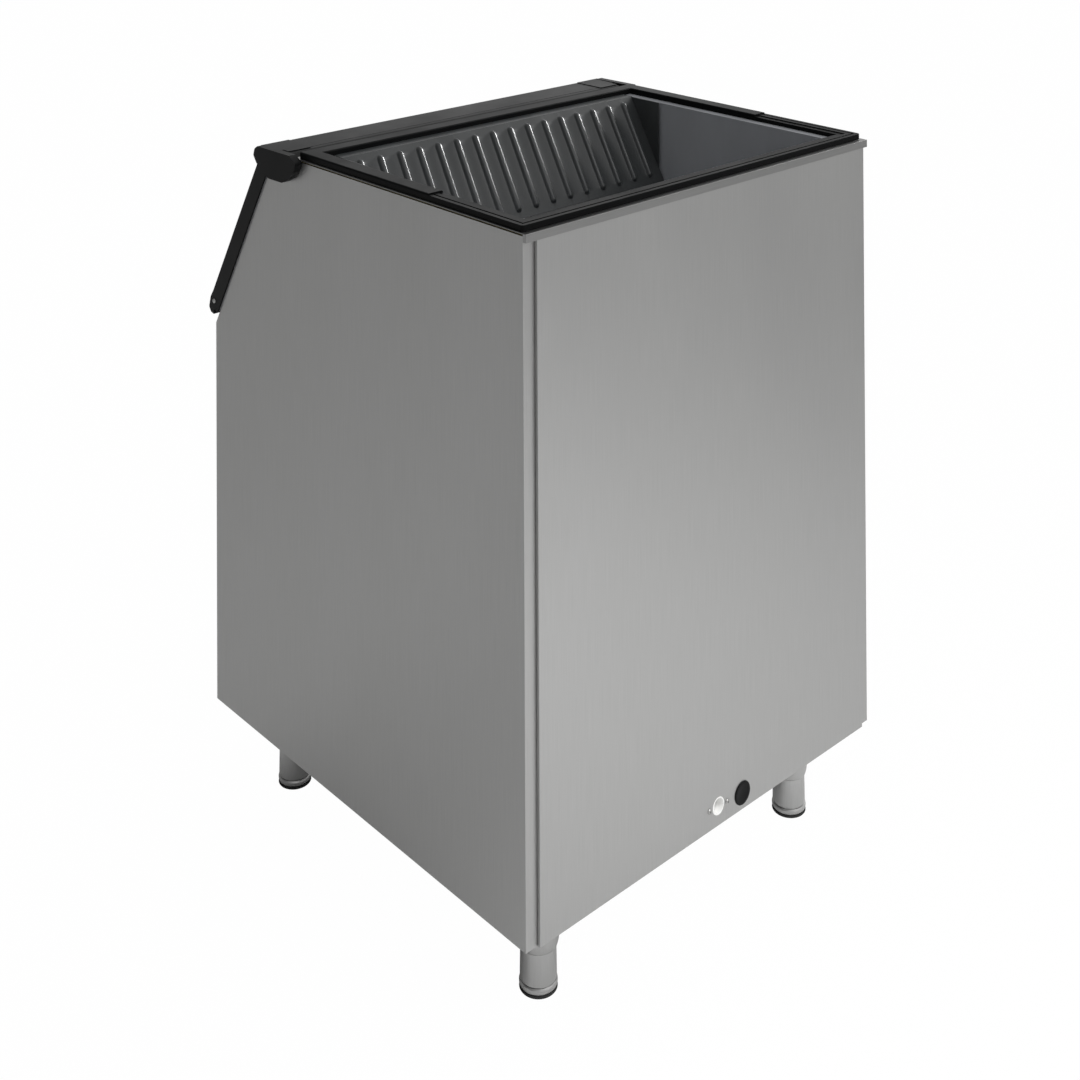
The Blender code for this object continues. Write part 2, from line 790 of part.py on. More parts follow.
def make_liner():
    """One-piece liner with a sloping floor, a sump, a throat behind the door and a ledge on top."""
    liner = liner_body("liner", 0.0)
    flange_half = SEAT_HALF + LINER_LAP
    flange = box(
        "liner_flange",
        (-flange_half, SEAT_FRONT - LINER_LAP, HEIGHT - LINER_WALL),
        (flange_half, SEAT_REAR + LINER_LAP, HEIGHT),
    )
    join(liner, flange)
    over = LINER_CORNER
    section = raised_top(cavity_outline(), HEIGHT + BEYOND)
    fall = (LINER_FLOOR_FRONT - LINER_FLOOR_REAR) / (CAVITY_REAR - CAVITY_FRONT)
    section[0] = (CAVITY_REAR + over, HEIGHT + BEYOND)
    section[1] = (CAVITY_REAR + over, LINER_FLOOR_REAR - fall * over)
    cavity = prism("liner_cavity", section, -CAVITY_HALF - over, CAVITY_HALF + over, SECTION)
    corners = prism(
        "liner_corners",
        rounded((
            (-CAVITY_HALF, CAVITY_FRONT - over, 0.0),
            (CAVITY_HALF, CAVITY_FRONT - over, 0.0),
            (CAVITY_HALF, CAVITY_REAR, LINER_CORNER),
            (-CAVITY_HALF, CAVITY_REAR, LINER_CORNER),
        ), 4),
        0.0,
        HEIGHT + 2 * BEYOND,
        PLAN,
    )
    combine(cavity, corners, "INTERSECT")
    floor = sump_floor()
    sump = cylinder(
        "liner_sump_hollow", SUMP_RADIUS, floor, floor + 3 * SUMP_DEPTH,
        (DRAIN_X, DRAIN_Y, 0.0), UPRIGHT,
    )
    throat = box(
        "liner_throat_hollow",
        (-OPENING_HALF, OPENING_START, -JAMB_DEPTH - LINER_CORNER),
        (OPENING_HALF, OPENING_END, BEYOND),
        SLOPE,
    )
    neck = cylinder(
        "liner_neck_hole", neck_radius() + GAP, floor - BEYOND / 2, floor + SUMP_DEPTH / 2,
        (DRAIN_X, DRAIN_Y, 0.0), UPRIGHT, SMALL_STEPS,
    )
    cut(liner, cavity, sump, throat, neck)
    finish(liner, LINER_PLASTIC)


def neck_radius():
    """Outer radius of the drain fitting's neck, which fits into the outlet pipe."""
    return DRAIN_PIPE_RADIUS - DRAIN_PIPE_WALL - GAP


def drain_path(top, rear):
    """Path of the outlet pipe: down from the sump, round a bend and out through the rear panel."""
    centre = (DRAIN_Y + DRAIN_BEND, DRAIN_HEIGHT + DRAIN_BEND)
    bend = arc(centre, DRAIN_BEND, math.radians(180.0), math.radians(270.0), 6)
    return [(DRAIN_Y, top), *bend, (rear, DRAIN_HEIGHT)]


def make_foam():
    """Foam that fills the space between the panels and the liner."""
    side = INSIDE - GAP - PANEL_SHEET - GAP
    low = PANEL_SHEET + GAP
    front = FRONT + PANEL_SHEET + GAP
    rear = BACK - SIDE_SHEET - GAP
    top = HEIGHT - LINER_WALL - GAP
    recess = HEADER_TOP - PANEL_SHEET - GAP
    behind_header = HEADER_BACK + PANEL_SHEET + GAP
    slope_out = -FRAME_BACK - GAP
    outline = (
        (front, low),
        (rear, low),
        (rear, top),
        (behind_header, top),
        (behind_header, recess),
        slope_at_height(recess, slope_out),
        slope_at_depth(front, slope_out),
    )
    foam = prism("foam_insulation", outline, -side, side, SECTION)
    block_half = HALF - REAR_FLANGE - GAP
    block = box(
        "foam_block",
        (-block_half, rear - LINER_WALL, low),
        (block_half, PAN_OUT - PANEL_SHEET - GAP, SIDE_TOP - PANEL_SHEET - GAP),
    )
    join(foam, block)
    for side_name, side_sign in SIDES:
        reach = mirrored(side_sign, side - FOAM_REBATE, side + BEYOND)
        rebate = box(
            "foam_rebate_" + side_name,
            (reach[0], behind_header - BEYOND, SIDE_TOP - FOAM_REBATE_DEPTH),
            (reach[1], rear + BEYOND, HEIGHT),
        )
        cut(foam, rebate)
    cut(foam, liner_body("foam_cavity", GAP))
    for name, x, y in leg_places():
        reach = PLATE_SIZE / 2 + GAP
        pocket = box(
            "foam_plate_" + name,
            (x - reach, y - reach, -BEYOND),
            (x + reach, y + reach, low + PLATE_THICKNESS + GAP),
        )
        stud = cylinder(
            "foam_stud_" + name, LEG_STUD_RADIUS + GAP, 0.0, stud_top() + GAP,
            (x, y, 0.0), UPRIGHT, SMALL_STEPS,
        )
        cut(foam, pocket, stud)
    pipe = tube(
        "foam_pipe", drain_path(LINER_FLOOR_REAR, PAN_OUT + BEYOND), DRAIN_PIPE_RADIUS + GAP,
    )
    cut(foam, pipe)
    for side_name, (x, z) in OUTLET_SCREWS.items():
        hole = cylinder(
            "foam_screw_" + side_name, SCREW_SHANK_RADIUS + GAP, -OUTLET_SCREW_LENGTH - GAP, BEYOND,
            (x, PAN_OUT, z), ALONG_Y, SCREW_STEPS,
        )
        cut(foam, hole)
    finish(foam, FOAM)


def top_edge_loop(mesh, level, width):
    """Round the edges of a mesh that lie at a level."""
    cage = bmesh.new()
    cage.from_mesh(mesh)
    edges = [
        edge for edge in cage.edges
        if all(abs(corner.co.z - level) < GAP for corner in edge.verts) and len(edge.link_faces) == 2
        and any(abs(face.normal.z) < 0.5 for face in edge.link_faces)
    ]
    bmesh.ops.bevel(cage, geom=edges, offset=width, segments=3, profile=0.5, affect="EDGES")
    cage.to_mesh(mesh)
    cage.free()


def rim_ring(name, outer_inset, inner_inset, low, high):
    """Ring between two distances from the rim's outer edge."""
    corner = max(RIM_CORNER - outer_inset, 0.0)
    outer = rectangle(
        -RIM_HALF + outer_inset, RIM_FRONT + outer_inset, RIM_HALF - outer_inset, RIM_REAR - outer_inset,
        corner,
    )
    inner = rectangle(
        -RIM_HALF + inner_inset, RIM_FRONT + inner_inset, RIM_HALF - inner_inset, RIM_REAR - inner_inset,
    )
    return prism(name, outer, low, high, PLAN, holes=(inner,))


def make_rim():
    """Moulded rim, smooth in front and stepped with two ridges behind."""
    rim = rim_ring("rim", 0.0, RIM_WIDTH, RIM_BOTTOM, RIM_TOP)
    top_edge_loop(rim.data, RIM_HEIGHT / 2, RIM_ROUNDING)
    step_y = RIM_REAR - RIM_STEP_FROM_REAR
    ridge = RIM_TOP - RIM_STEP
    step = box(
        "rim_step", (-HALF, step_y, ridge), (HALF, BACK + BEYOND, RIM_TOP + BEYOND),
    )
    groove = rim_ring(
        "rim_groove", RIM_OUTER_RIDGE, RIM_OUTER_RIDGE + RIM_GROOVE, ridge - RIM_GROOVE_DEPTH,
        RIM_TOP + BEYOND,
    )
    flat = rim_ring(
        "rim_flat", RIM_OUTER_RIDGE + RIM_GROOVE + RIM_INNER_RIDGE, RIM_WIDTH + BEYOND,
        ridge - RIM_FLAT_DEPTH, RIM_TOP + BEYOND,
    )
    for tool in (groove, flat):
        keep = box(
            tool.name + "_end", (-HALF, RIM_FRONT - BEYOND, 0.0), (HALF, step_y, HEIGHT + 2 * BEYOND),
        )
        cut(tool, keep)
    cut(rim, step, groove, flat)
    finish(rim, DARK_PLASTIC)


def capsules(name, radius):
    """Row of rods with round ends, lying down the baffle."""
    cage = bmesh.new()
    end_latitude = math.pi / (2 * BEAD_RINGS)
    for index in range(BEAD_COUNT):
        x = (index - (BEAD_COUNT - 1) / 2) * BEAD_PITCH
        made = bmesh.ops.create_uvsphere(
            cage, u_segments=BEAD_SEGMENTS, v_segments=BEAD_RINGS, radius=radius / math.cos(end_latitude),
        )
        stretch = BEAD_LENGTH / 2 - BEAD_RADIUS
        for corner in made["verts"]:
            height = corner.co.z + math.copysign(stretch, corner.co.z)
            corner.co = (corner.co.x + x, height, -corner.co.y)
    mesh = bpy.data.meshes.new(name)
    cage.to_mesh(mesh)
    cage.free()
    weld(mesh)
    origin, turn = BAFFLE
    middle = Vector((0.0, BEAD_START + BEAD_LENGTH / 2, 0.0))
    return link_mesh(name, mesh, origin + turn.to_matrix() @ middle, turn)


def make_baffle():
    """Pressed deflector with raised beads, two cheeks and a hook over the front ledge."""
    under = HEIGHT + GAP
    over = under + BAFFLE_SHEET
    hook = baffle_at_height(over, 0.0)[0] - BAFFLE_HOOK
    outline = (
        (hook, over),
        baffle_at_height(over, 0.0),
        baffle_point(BAFFLE_LENGTH, 0.0),
        baffle_point(BAFFLE_LENGTH, -BAFFLE_SHEET),
        baffle_at_height(under, -BAFFLE_SHEET),
        (hook, under),
    )
    baffle = prism("baffle", outline, -BAFFLE_HALF, BAFFLE_HALF, SECTION)
    cheek_y = BAFFLE_TOP[0] + CHEEK_REACH
    cheek_top = HEIGHT + BAFFLE_SHEET / 2
    middle = -BAFFLE_SHEET / 2
    cheek = (
        baffle_at_height(cheek_top, middle),
        (cheek_y, cheek_top),
        baffle_at_depth(cheek_y, middle),
    )
    for side_name, side in SIDES:
        reach = mirrored(side, BAFFLE_HALF - BAFFLE_SHEET, BAFFLE_HALF)
        join(baffle, prism("baffle_cheek_" + side_name, cheek, *reach, SECTION))
    join(baffle, capsules("baffle_beads", BEAD_RADIUS))
    behind = box(
        "baffle_behind",
        (-BAFFLE_HALF - BEYOND, BEAD_START - 2 * BAFFLE_SHEET, -BEYOND),
        (BAFFLE_HALF + BEYOND, BAFFLE_LENGTH + BEYOND, -BAFFLE_SHEET),
        BAFFLE,
    )
    cut(baffle, behind)
    cut(baffle, capsules("baffle_bead_hollows", BEAD_RADIUS - BAFFLE_SHEET))
    finish(baffle, BAFFLE_PLASTIC)


def make_door_frame():
    """Moulded frame round the sloping opening, its seal and the fold behind the hood."""
    half = INSIDE - GAP
    frame_top = HEADER_TOP - PANEL_SHEET - GAP
    frame_end = (frame_top - SLOPE_START + GAP * math.cos(SLOPE_ANGLE)) / math.sin(SLOPE_ANGLE)
    frame = prism(
        "door_frame",
        rectangle(-half, FRAME_BOTTOM, half, frame_end),
        -FRAME_BACK,
        -GAP,
        SLOPE,
        holes=(rectangle(
            -OPENING_HALF, OPENING_START, OPENING_HALF, OPENING_END, OPENING_RADIUS,
        ),),
    )
    finish(frame, DARK_PLASTIC)
    near = SEAL_MARGIN
    far = SEAL_MARGIN + SEAL_WIDTH
    seal = prism(
        "door_seal",
        rectangle(
            -OPENING_HALF - far, OPENING_START - far, OPENING_HALF + far, OPENING_END + far,
            OPENING_RADIUS + far,
        ),
        0.0,
        SEAL_HEIGHT,
        SLOPE,
        holes=(rectangle(
            -OPENING_HALF - near, OPENING_START - near, OPENING_HALF + near, OPENING_END + near,
            OPENING_RADIUS + near,
        ),),
    )
    finish(seal, RUBBER)
    front = slope_at_height(HEADER_TOP, -RUNNING)[0]
    outline = (
        (front, HEADER_TOP),
        (front, HEADER_TOP - PANEL_SHEET),
        (HEADER_BACK + PANEL_SHEET, HEADER_TOP - PANEL_SHEET),
        (HEADER_BACK + PANEL_SHEET, HEIGHT - FRAME_SHEET - GAP),
        (HEADER_BACK, HEIGHT - FRAME_SHEET - GAP),
        (HEADER_BACK, HEADER_TOP),
    )
    header = prism("header_cover", outline, -half, half, SECTION)
    finish(header, STEEL)


def make_hinges(door_pivot):
    """Fixed plates and pins, and the bushes that turn on the pins with the door."""
    pin_out = CAP_OUT - CAP_BORE_WALL - GAP
    for side_name, side in SIDES:
        plate = box(
            "hinge_plate_" + side_name,
            (mirrored(side, PLATE_IN, PLATE_OUT)[0], PIVOT_Y - HINGE_PLATE_FRONT, HEADER_TOP + GAP),
            (mirrored(side, PLATE_IN, PLATE_OUT)[1], PIVOT_Y + HINGE_PLATE_REAR, PIVOT_Z + HINGE_PLATE_RISE),
        )
        hole = cylinder(
            plate.name + "_hole", PIN_RADIUS + GAP, -BEYOND, BEYOND,
            (side * PLATE_OUT, PIVOT_Y, PIVOT_Z), ALONG_X, SMALL_STEPS,
        )
        cut(plate, hole)
        finish(plate, PLATED)
        low, high = mirrored(side, pin_out - PIN_LENGTH, pin_out)
        pin = cylinder(
            "hinge_pin_" + side_name, PIN_RADIUS, low, high, (0.0, PIVOT_Y, PIVOT_Z), ALONG_X, SMALL_STEPS,
        )
        finish(pin, PLATED)
        low, high = mirrored(side, BARREL_END - BUSH_LENGTH, BARREL_END)
        bore = PIN_RADIUS + GAP
        bush = turned(
            "hinge_bush_" + side_name,
            ((bore, high), (BUSH_RADIUS, high), (BUSH_RADIUS, low), (bore, low)),
            (0.0, PIVOT_Y, PIVOT_Z), ALONG_X, closed=True, steps=SMALL_STEPS,
        )
        finish(bush, WHITE_PLASTIC, door_pivot)


def door_face(start_y):
    """Outer contour of the door's section, from the hood's top over the nose to the grip."""
    corners = [(start_y, HOOD_TOP, 0.0), (NOSE, HOOD_TOP, NOSE_RADIUS)]
    corners.append((*slope_at_depth(NOSE, DOOR_OUT), NOSE_RADIUS))
    corners.extend((*slope_point(along, out), radius) for along, out, radius in GRIP)
    corners.append((*slope_point(DOOR_START, DOOR_BACK), 0.0))
    corners.append((*slope_point(DOOR_TOP_WALL, DOOR_BACK), 0.0))
    return corners


def door_outline(cutback):
    """Section of the door, closed behind the hood, which ends a cutback in front of the pivot."""
    corners = door_face(PIVOT_Y - cutback)
    corners.append((PIVOT_Y - HOOD_END_CUTBACK, HEADER_TOP + BARREL_RADIUS, 0.0))
    return rounded(corners)


def hood_hollow():
    """Section of the space under the hood, open behind and below."""
    inner_nose = NOSE + DOOR_WALL
    out = (inner_nose - FRONT - DOOR_TOP_WALL * math.cos(SLOPE_ANGLE)) / -math.sin(SLOPE_ANGLE)
    return rounded((
        (*slope_point(DOOR_TOP_WALL, DOOR_BACK - BEYOND), 0.0),
        (*slope_point(DOOR_TOP_WALL, out), 0.0),
        (inner_nose, HOOD_TOP - DOOR_WALL, NOSE_RADIUS - DOOR_WALL),
        (PIVOT_Y + BEYOND, HOOD_TOP - DOOR_WALL, 0.0),
    ))


def make_door_shell(door_pivot):
    """Moulded outer skin of the door: slab, grip lip, hood, hinge barrel and stiffening ribs."""
    pivot = (PIVOT_Y, PIVOT_Z)
    shell = prism("door_shell", door_outline(HOOD_CUTBACK), -DOOR_HALF, DOOR_HALF, SECTION)
    hollow = prism("door_hood_hollow", hood_hollow(), -HALF - GAP, HALF + GAP, SECTION)
    cut(shell, hollow)
    for side_name, side in SIDES:
        reach = mirrored(side, BARREL_END + GAP, DOOR_HALF + BEYOND)
        notch = box(
            "door_notch_" + side_name,
            (reach[0], PIVOT_Y - HOOD_END_CUTBACK, HEADER_TOP),
            (reach[1], PIVOT_Y + BEYOND, HOOD_TOP + BEYOND),
        )
        cut(shell, notch)
    top = math.radians(90.0)
    outer = arc(pivot, BARREL_RADIUS - GAP, BARREL_OPENING, top, 12)
    inner = arc(pivot, BARREL_RADIUS - DOOR_WALL + GAP, top, BARREL_OPENING, 12)
    forward = PIVOT_Y - HOOD_CUTBACK - DOOR_WALL
    lap = [
        (forward, HOOD_TOP - GAP),
        (forward, HOOD_TOP - DOOR_WALL + GAP),
    ]
    barrel = prism("door_barrel", [*outer, *lap, *inner], -BARREL_END, BARREL_END, SECTION)
    join(shell, barrel)
    for side_name, side in SIDES:
        low, high = mirrored(side, BARREL_END - BUSH_LENGTH - 2 * GAP, BARREL_END)
        centre = (0.0, PIVOT_Y, PIVOT_Z)
        plug = cylinder(
            "door_barrel_end_" + side_name, BARREL_RADIUS - DOOR_WALL / 2, low, high, centre, ALONG_X,
        )
        join(shell, plug)
    rib_corners = (
        (PIVOT_Y - GAP, HOOD_TOP - DOOR_WALL / 2),
        (NOSE + NOSE_RADIUS, HOOD_TOP - DOOR_WALL / 2),
        (NOSE + DOOR_WALL / 2, HOOD_TOP - NOSE_RADIUS),
        slope_point(DOOR_TOP_WALL - GAP, DOOR_OUT - DOOR_WALL / 2),
        slope_point(DOOR_TOP_WALL - GAP, DOOR_BACK + DOOR_WALL),
        (PIVOT_Y - BARREL_RADIUS / 2, PIVOT_Z + BARREL_RADIUS / 2),
    )
    for name, factor in (("far_left", -2), ("left", -1), ("middle", 0), ("right", 1), ("far_right", 2)):
        x = factor * HOOD_RIB_SPACING
        rib = prism("door_rib_" + name, rib_corners, x - HOOD_RIB / 2, x + HOOD_RIB / 2, SECTION)
        join(shell, rib)
    pan = box(
        "door_pan",
        (-DOOR_HALF + DOOR_WALL, DOOR_START + DOOR_WALL, -BEYOND),
        (DOOR_HALF - DOOR_WALL, DOOR_TOP_WALL - DOOR_WALL, DOOR_OUT - DOOR_WALL),
        SLOPE,
    )
    cut(shell, pan)
    for side_name, side in SIDES:
        bore = cylinder(
            "door_bore_" + side_name, BUSH_RADIUS + GAP, -BEYOND, BEYOND,
            (side * BARREL_END, PIVOT_Y, PIVOT_Z), ALONG_X, SMALL_STEPS,
        )
        y, z = slope_point(DOOR_SCREW_ALONG, DOOR_SCREW_OUT)
        screw_hole = cylinder(
            "door_screw_hole_" + side_name, SCREW_SHANK_RADIUS + GAP, -2 * DOOR_WALL, BEYOND,
            (side * DOOR_HALF, y, z), ALONG_X if side > 0 else AGAINST_X, SCREW_STEPS,
        )
        cut(shell, bore, screw_hole)
    finish(shell, HOOD_PLASTIC, door_pivot)


def make_door_inside(door_pivot):
    """Inner panel of the door with a shallow plug, and the insulation behind it."""
    half = DOOR_HALF - DOOR_WALL - GAP
    low = DOOR_START + DOOR_WALL + GAP
    high = DOOR_TOP_WALL - DOOR_WALL - GAP
    panel_out = DOOR_BACK + DOOR_PANEL
    panel = box("door_inner_panel", (-half, low, DOOR_BACK), (half, high, panel_out), SLOPE)
    margin = DOOR_PLUG_MARGIN
    plug = prism(
        "door_plug",
        rectangle(
            -OPENING_HALF + margin, OPENING_START + margin, OPENING_HALF - margin, OPENING_END - margin,
            OPENING_RADIUS,
        ),
        DOOR_BACK - DOOR_PLUG_DEPTH,
        panel_out - GAP,
        SLOPE,
    )
    join(panel, plug)
    inset = margin + DOOR_PANEL
    hollow = prism(
        "door_plug_hollow",
        rectangle(
            -OPENING_HALF + inset, OPENING_START + inset, OPENING_HALF - inset, OPENING_END - inset,
            OPENING_RADIUS - DOOR_PANEL,
        ),
        DOOR_BACK - DOOR_PLUG_DEPTH + DOOR_PANEL,
        panel_out + BEYOND,
        SLOPE,
    )
    cut(panel, hollow)
    finish(panel, LINER_PLASTIC, door_pivot)
    insulation = box(
        "door_insulation",
        (-half, low, panel_out + GAP),
        (half, high, DOOR_OUT - DOOR_WALL - GAP),
        SLOPE,
    )
    finish(insulation, FOAM, door_pivot)


def screw_profile(length):
    """Pan head screw from the top of its head to the end of its shank."""
    head = SCREW_HEAD_RADIUS
    return (
        (0.0, GAP + SCREW_HEAD_HEIGHT),
        (0.6 * head, GAP + SCREW_HEAD_HEIGHT),
        (0.9 * head, GAP + 0.6 * SCREW_HEAD_HEIGHT),
        (head, GAP),
        (SCREW_SHANK_RADIUS, GAP),
        (SCREW_SHANK_RADIUS, -length),
        (0.0, -length),
    )


def make_end_caps(door_pivot):
    """Ears over the ends of the hood, and the screw low on each end of the door."""
    outline = rounded([(PIVOT_Y + a, PIVOT_Z + b, radius) for a, b, radius in CAP_OUTLINE])
    pocket_outline = offset(door_outline(HOOD_END_CUTBACK), GAP)
    tongue_front = NOSE + NOSE_RADIUS - GAP
    tongue_low = HOOD_TOP + GAP
    tongue_high = tongue_low + CAP_TONGUE
    notch = PIVOT_Y - HOOD_END_CUTBACK - GAP
    for side_name, side in SIDES:
        name = "end_cap_" + side_name
        cap = prism(name, outline, *mirrored(side, CAP_IN, CAP_OUT), SECTION)
        ease_edges(cap, CAP_ROUNDING, 2, math.radians(60.0))
        long_reach = mirrored(side, DOOR_HALF - CAP_TONGUE_LENGTH, BARREL_END - GAP)
        rear_tongue = box(
            name + "_tongue_rear",
            (long_reach[0], notch - DOOR_WALL, tongue_low),
            (long_reach[1], PIVOT_Y - GAP, tongue_high),
        )
        wide_reach = mirrored(side, DOOR_HALF - CAP_TONGUE_LENGTH, CAP_IN + 2 * CAP_ROUNDING)
        tongue = box(
            name + "_tongue",
            (wide_reach[0], tongue_front, tongue_low),
            (wide_reach[1], notch, tongue_high),
        )
        join(cap, tongue, rear_tongue)
        pocket = prism(
            name + "_pocket", pocket_outline, *mirrored(side, HALF - BEYOND, DOOR_HALF + GAP), SECTION,
        )
        bore = cylinder(
            name + "_bore", PIN_RADIUS + GAP, *mirrored(side, HALF - BEYOND, CAP_OUT - CAP_BORE_WALL),
            (0.0, PIVOT_Y, PIVOT_Z), ALONG_X, SMALL_STEPS,
        )
        cut(cap, pocket, bore)
        finish(cap, HOOD_PLASTIC, door_pivot)
        y, z = slope_point(DOOR_SCREW_ALONG, DOOR_SCREW_OUT)
        screw = turned(
            "door_screw_" + side_name,
            screw_profile(DOOR_WALL - GAP),
            (side * DOOR_HALF, y, z),
            ALONG_X if side > 0 else AGAINST_X,
            steps=SCREW_STEPS,
        )
        finish(screw, DARK_PLASTIC, door_pivot)


def leg_places():
    """Name and place of each leg."""
    return (
        ("front_left", -LEG_X, FRONT + LEG_FROM_END),
        ("front_right", LEG_X, FRONT + LEG_FROM_END),
        ("rear_left", -LEG_X, LEG_Y),
        ("rear_right", LEG_X, LEG_Y),
    )


def stud_top():
    """Height of the top of a leg's stud above the cabinet's underside."""
    return PANEL_SHEET + GAP + PLATE_THICKNESS + 2 * LEG_STUD_RADIUS


def share_mesh(name, source, location, parent):
    """Another piece with the same shape, with its own mesh and modifiers."""
    item = link_mesh(name, source.data.copy(), location, UPRIGHT, parent)
    for modifier in source.modifiers:
        screw = item.modifiers.new(modifier.name, "SCREW")
        screw.axis = modifier.axis
        screw.steps = modifier.steps
        screw.render_steps = modifier.render_steps
        screw.use_merge_vertices = modifier.use_merge_vertices
        screw.merge_threshold = modifier.merge_threshold
    return item


def collar_profile():
    """Tapered collar with a stud through the base and a spigot in the tube."""
    bottom = -GAP - COLLAR_HEIGHT
    spigot = TUBE_RADIUS - TUBE_WALL - GAP
    return (
        (0.0, stud_top()),
        (LEG_STUD_RADIUS, stud_top()),
        (LEG_STUD_RADIUS, -GAP),
        (COLLAR_TOP_RADIUS, -GAP),
        (COLLAR_SHOULDER_RADIUS, bottom + COLLAR_SHOULDER),
        (COLLAR_BOTTOM_RADIUS, bottom),
        (spigot, bottom),
        (spigot, bottom - COLLAR_SPIGOT),
        (0.0, bottom - COLLAR_SPIGOT),
    )


def tube_profile():
    """Steel tube with a threaded web at its lower end, heights from the floor."""
    top = LEG_HEIGHT - GAP - COLLAR_HEIGHT - GAP
    bottom = PAD_HEIGHT + GAP + FOOT_HEIGHT + GAP
    inner = TUBE_RADIUS - TUBE_WALL
    bore = FOOT_STUD_RADIUS + GAP
    return (
        (inner, top),
        (TUBE_RADIUS, top),
        (TUBE_RADIUS, bottom),
        (bore, bottom),
        (bore, bottom + TUBE_WEB),
        (inner, bottom + TUBE_WEB),
    )


def foot_profile():
    """Levelling foot: stud and rounded base, heights from the floor."""
    low = PAD_HEIGHT + GAP
    high = low + FOOT_HEIGHT
    return (
        (0.0, high + FOOT_STUD_LENGTH),
        (FOOT_STUD_RADIUS, high + FOOT_STUD_LENGTH),
        (FOOT_STUD_RADIUS, high),
        (FOOT_RADIUS - 0.26 * FOOT_HEIGHT, high),
        (FOOT_RADIUS - 0.05 * FOOT_HEIGHT, high - 0.15 * FOOT_HEIGHT),
        (FOOT_RADIUS, high - 0.45 * FOOT_HEIGHT),
        (FOOT_RADIUS - 0.07 * FOOT_HEIGHT, high - 0.8 * FOOT_HEIGHT),
        (FOOT_RADIUS - 0.22 * FOOT_HEIGHT, low),
        (0.0, low),
    )


def make_legs():
    """Four legs: plate in the floor, collar, tube, levelling foot and pad."""
    first = {}
    for name, x, y in leg_places():
        foot_axis = add_empty("foot_axis_" + name, (x, y, -LEG_HEIGHT), CABINET)
        places = {
            "leg_collar_": (collar_profile(), False, (x, y, 0.0), CABINET, HOOD_PLASTIC),
            "leg_tube_": (tube_profile(), True, (x, y, -LEG_HEIGHT), CABINET, STEEL),
            "leveling_foot_": (foot_profile(), False, (0.0, 0.0, 0.0), foot_axis, PLATED),
        }
        for kind, (profile, closed, location, parent, look) in places.items():
            if kind in first:
                piece = share_mesh(kind + name, first[kind], location, parent)
            else:
                piece = turned(kind + name, profile, location, UPRIGHT, closed)
                piece.parent = parent
                first[kind] = piece
            finish(piece, look)
        pad = cylinder("foot_pad_" + name, PAD_RADIUS, 0.0, PAD_HEIGHT, (0.0, 0.0, 0.0), UPRIGHT)
        pad.parent = foot_axis
        finish(pad, RUBBER)
        low = PANEL_SHEET + GAP
        reach = PLATE_SIZE / 2
        plate = box(
            "leg_plate_" + name,
            (x - reach, y - reach, low),
            (x + reach, y + reach, low + PLATE_THICKNESS),
        )
        hole = cylinder(
            "leg_plate_hole_" + name, LEG_STUD_RADIUS + GAP, -BEYOND, BEYOND, (x, y, 0.0),
            UPRIGHT, SMALL_STEPS,
        )
        cut(plate, hole)
        finish(plate, PLATED)


def make_drain():
    """Drain: fitting in the sump, strainer over it, outlet pipe, screws and blanking plug."""
    floor = sump_floor()
    pipe_top = floor - LINER_WALL - GAP
    pipe = tube("drain_outlet", drain_path(pipe_top, PAN_OUT), DRAIN_PIPE_RADIUS)
    bore = tube(
        "drain_outlet_bore", drain_path(pipe_top + BEYOND, PAN_OUT + BEYOND),
        DRAIN_PIPE_RADIUS - DRAIN_PIPE_WALL,
    )
    cut(pipe, bore)
    finish(pipe, WHITE_PLASTIC)
    neck = neck_radius()
    low = floor + GAP
    high = low + FITTING_FLANGE_THICKNESS
    neck_end = max(DRAIN_HEIGHT + DRAIN_BEND, pipe_top - 2 * LINER_WALL)
    fitting = turned(
        "drain_fitting",
        (
            (neck - FITTING_WALL, high),
            (FITTING_FLANGE, high),
            (FITTING_FLANGE, low),
            (neck, low),
            (neck, neck_end),
            (neck - FITTING_WALL, neck_end),
        ),
        (DRAIN_X, DRAIN_Y, 0.0), UPRIGHT, closed=True,
    )
    finish(fitting, WHITE_PLASTIC)
    strainer = cylinder(
        "drain_strainer", STRAINER_RADIUS, high + GAP, high + GAP + STRAINER_SHEET,
        (DRAIN_X, DRAIN_Y, 0.0), UPRIGHT,
    )
    slot_half = STRAINER_RADIUS / (2 * STRAINER_SLOTS)
    for index in range(STRAINER_SLOTS):
        y = DRAIN_Y + (index - (STRAINER_SLOTS - 1) / 2) * 1.5 * STRAINER_RADIUS / STRAINER_SLOTS
        chord = math.sqrt((0.85 * STRAINER_RADIUS) ** 2 - (y - DRAIN_Y) ** 2)
        slot = box(
            "drain_strainer_slot_%d" % (index + 1),
            (DRAIN_X - chord, y - slot_half / 2, high - BEYOND / 2),
            (DRAIN_X + chord, y + slot_half / 2, high + BEYOND / 2),
        )
        cut(strainer, slot)
    finish(strainer, WHITE_PLASTIC)
    for side_name, (x, z) in OUTLET_SCREWS.items():
        screw = turned(
            "outlet_screw_" + side_name, screw_profile(OUTLET_SCREW_LENGTH), (x, PAN_OUT, z), ALONG_Y,
            steps=SCREW_STEPS,
        )
        finish(screw, STEEL)
    rim = GAP + PLUG_HEAD_HEIGHT
    plug = turned(
        "blanking_plug",
        (
            (0.0, rim),
            (PLUG_HEAD_RADIUS - PLUG_HEAD_HEIGHT, rim),
            (PLUG_HEAD_RADIUS, GAP + 0.3 * PLUG_HEAD_HEIGHT),
            (PLUG_HEAD_RADIUS, GAP),
            (PLUG_HOLE_RADIUS - GAP, GAP),
            (PLUG_HOLE_RADIUS - GAP, -PANEL_SHEET),
            (0.0, -PANEL_SHEET),
        ),
        (PLUG_X, PAN_OUT, PLUG_HEIGHT), ALONG_Y,
    )
    finish(plug, DARK_PLASTIC)


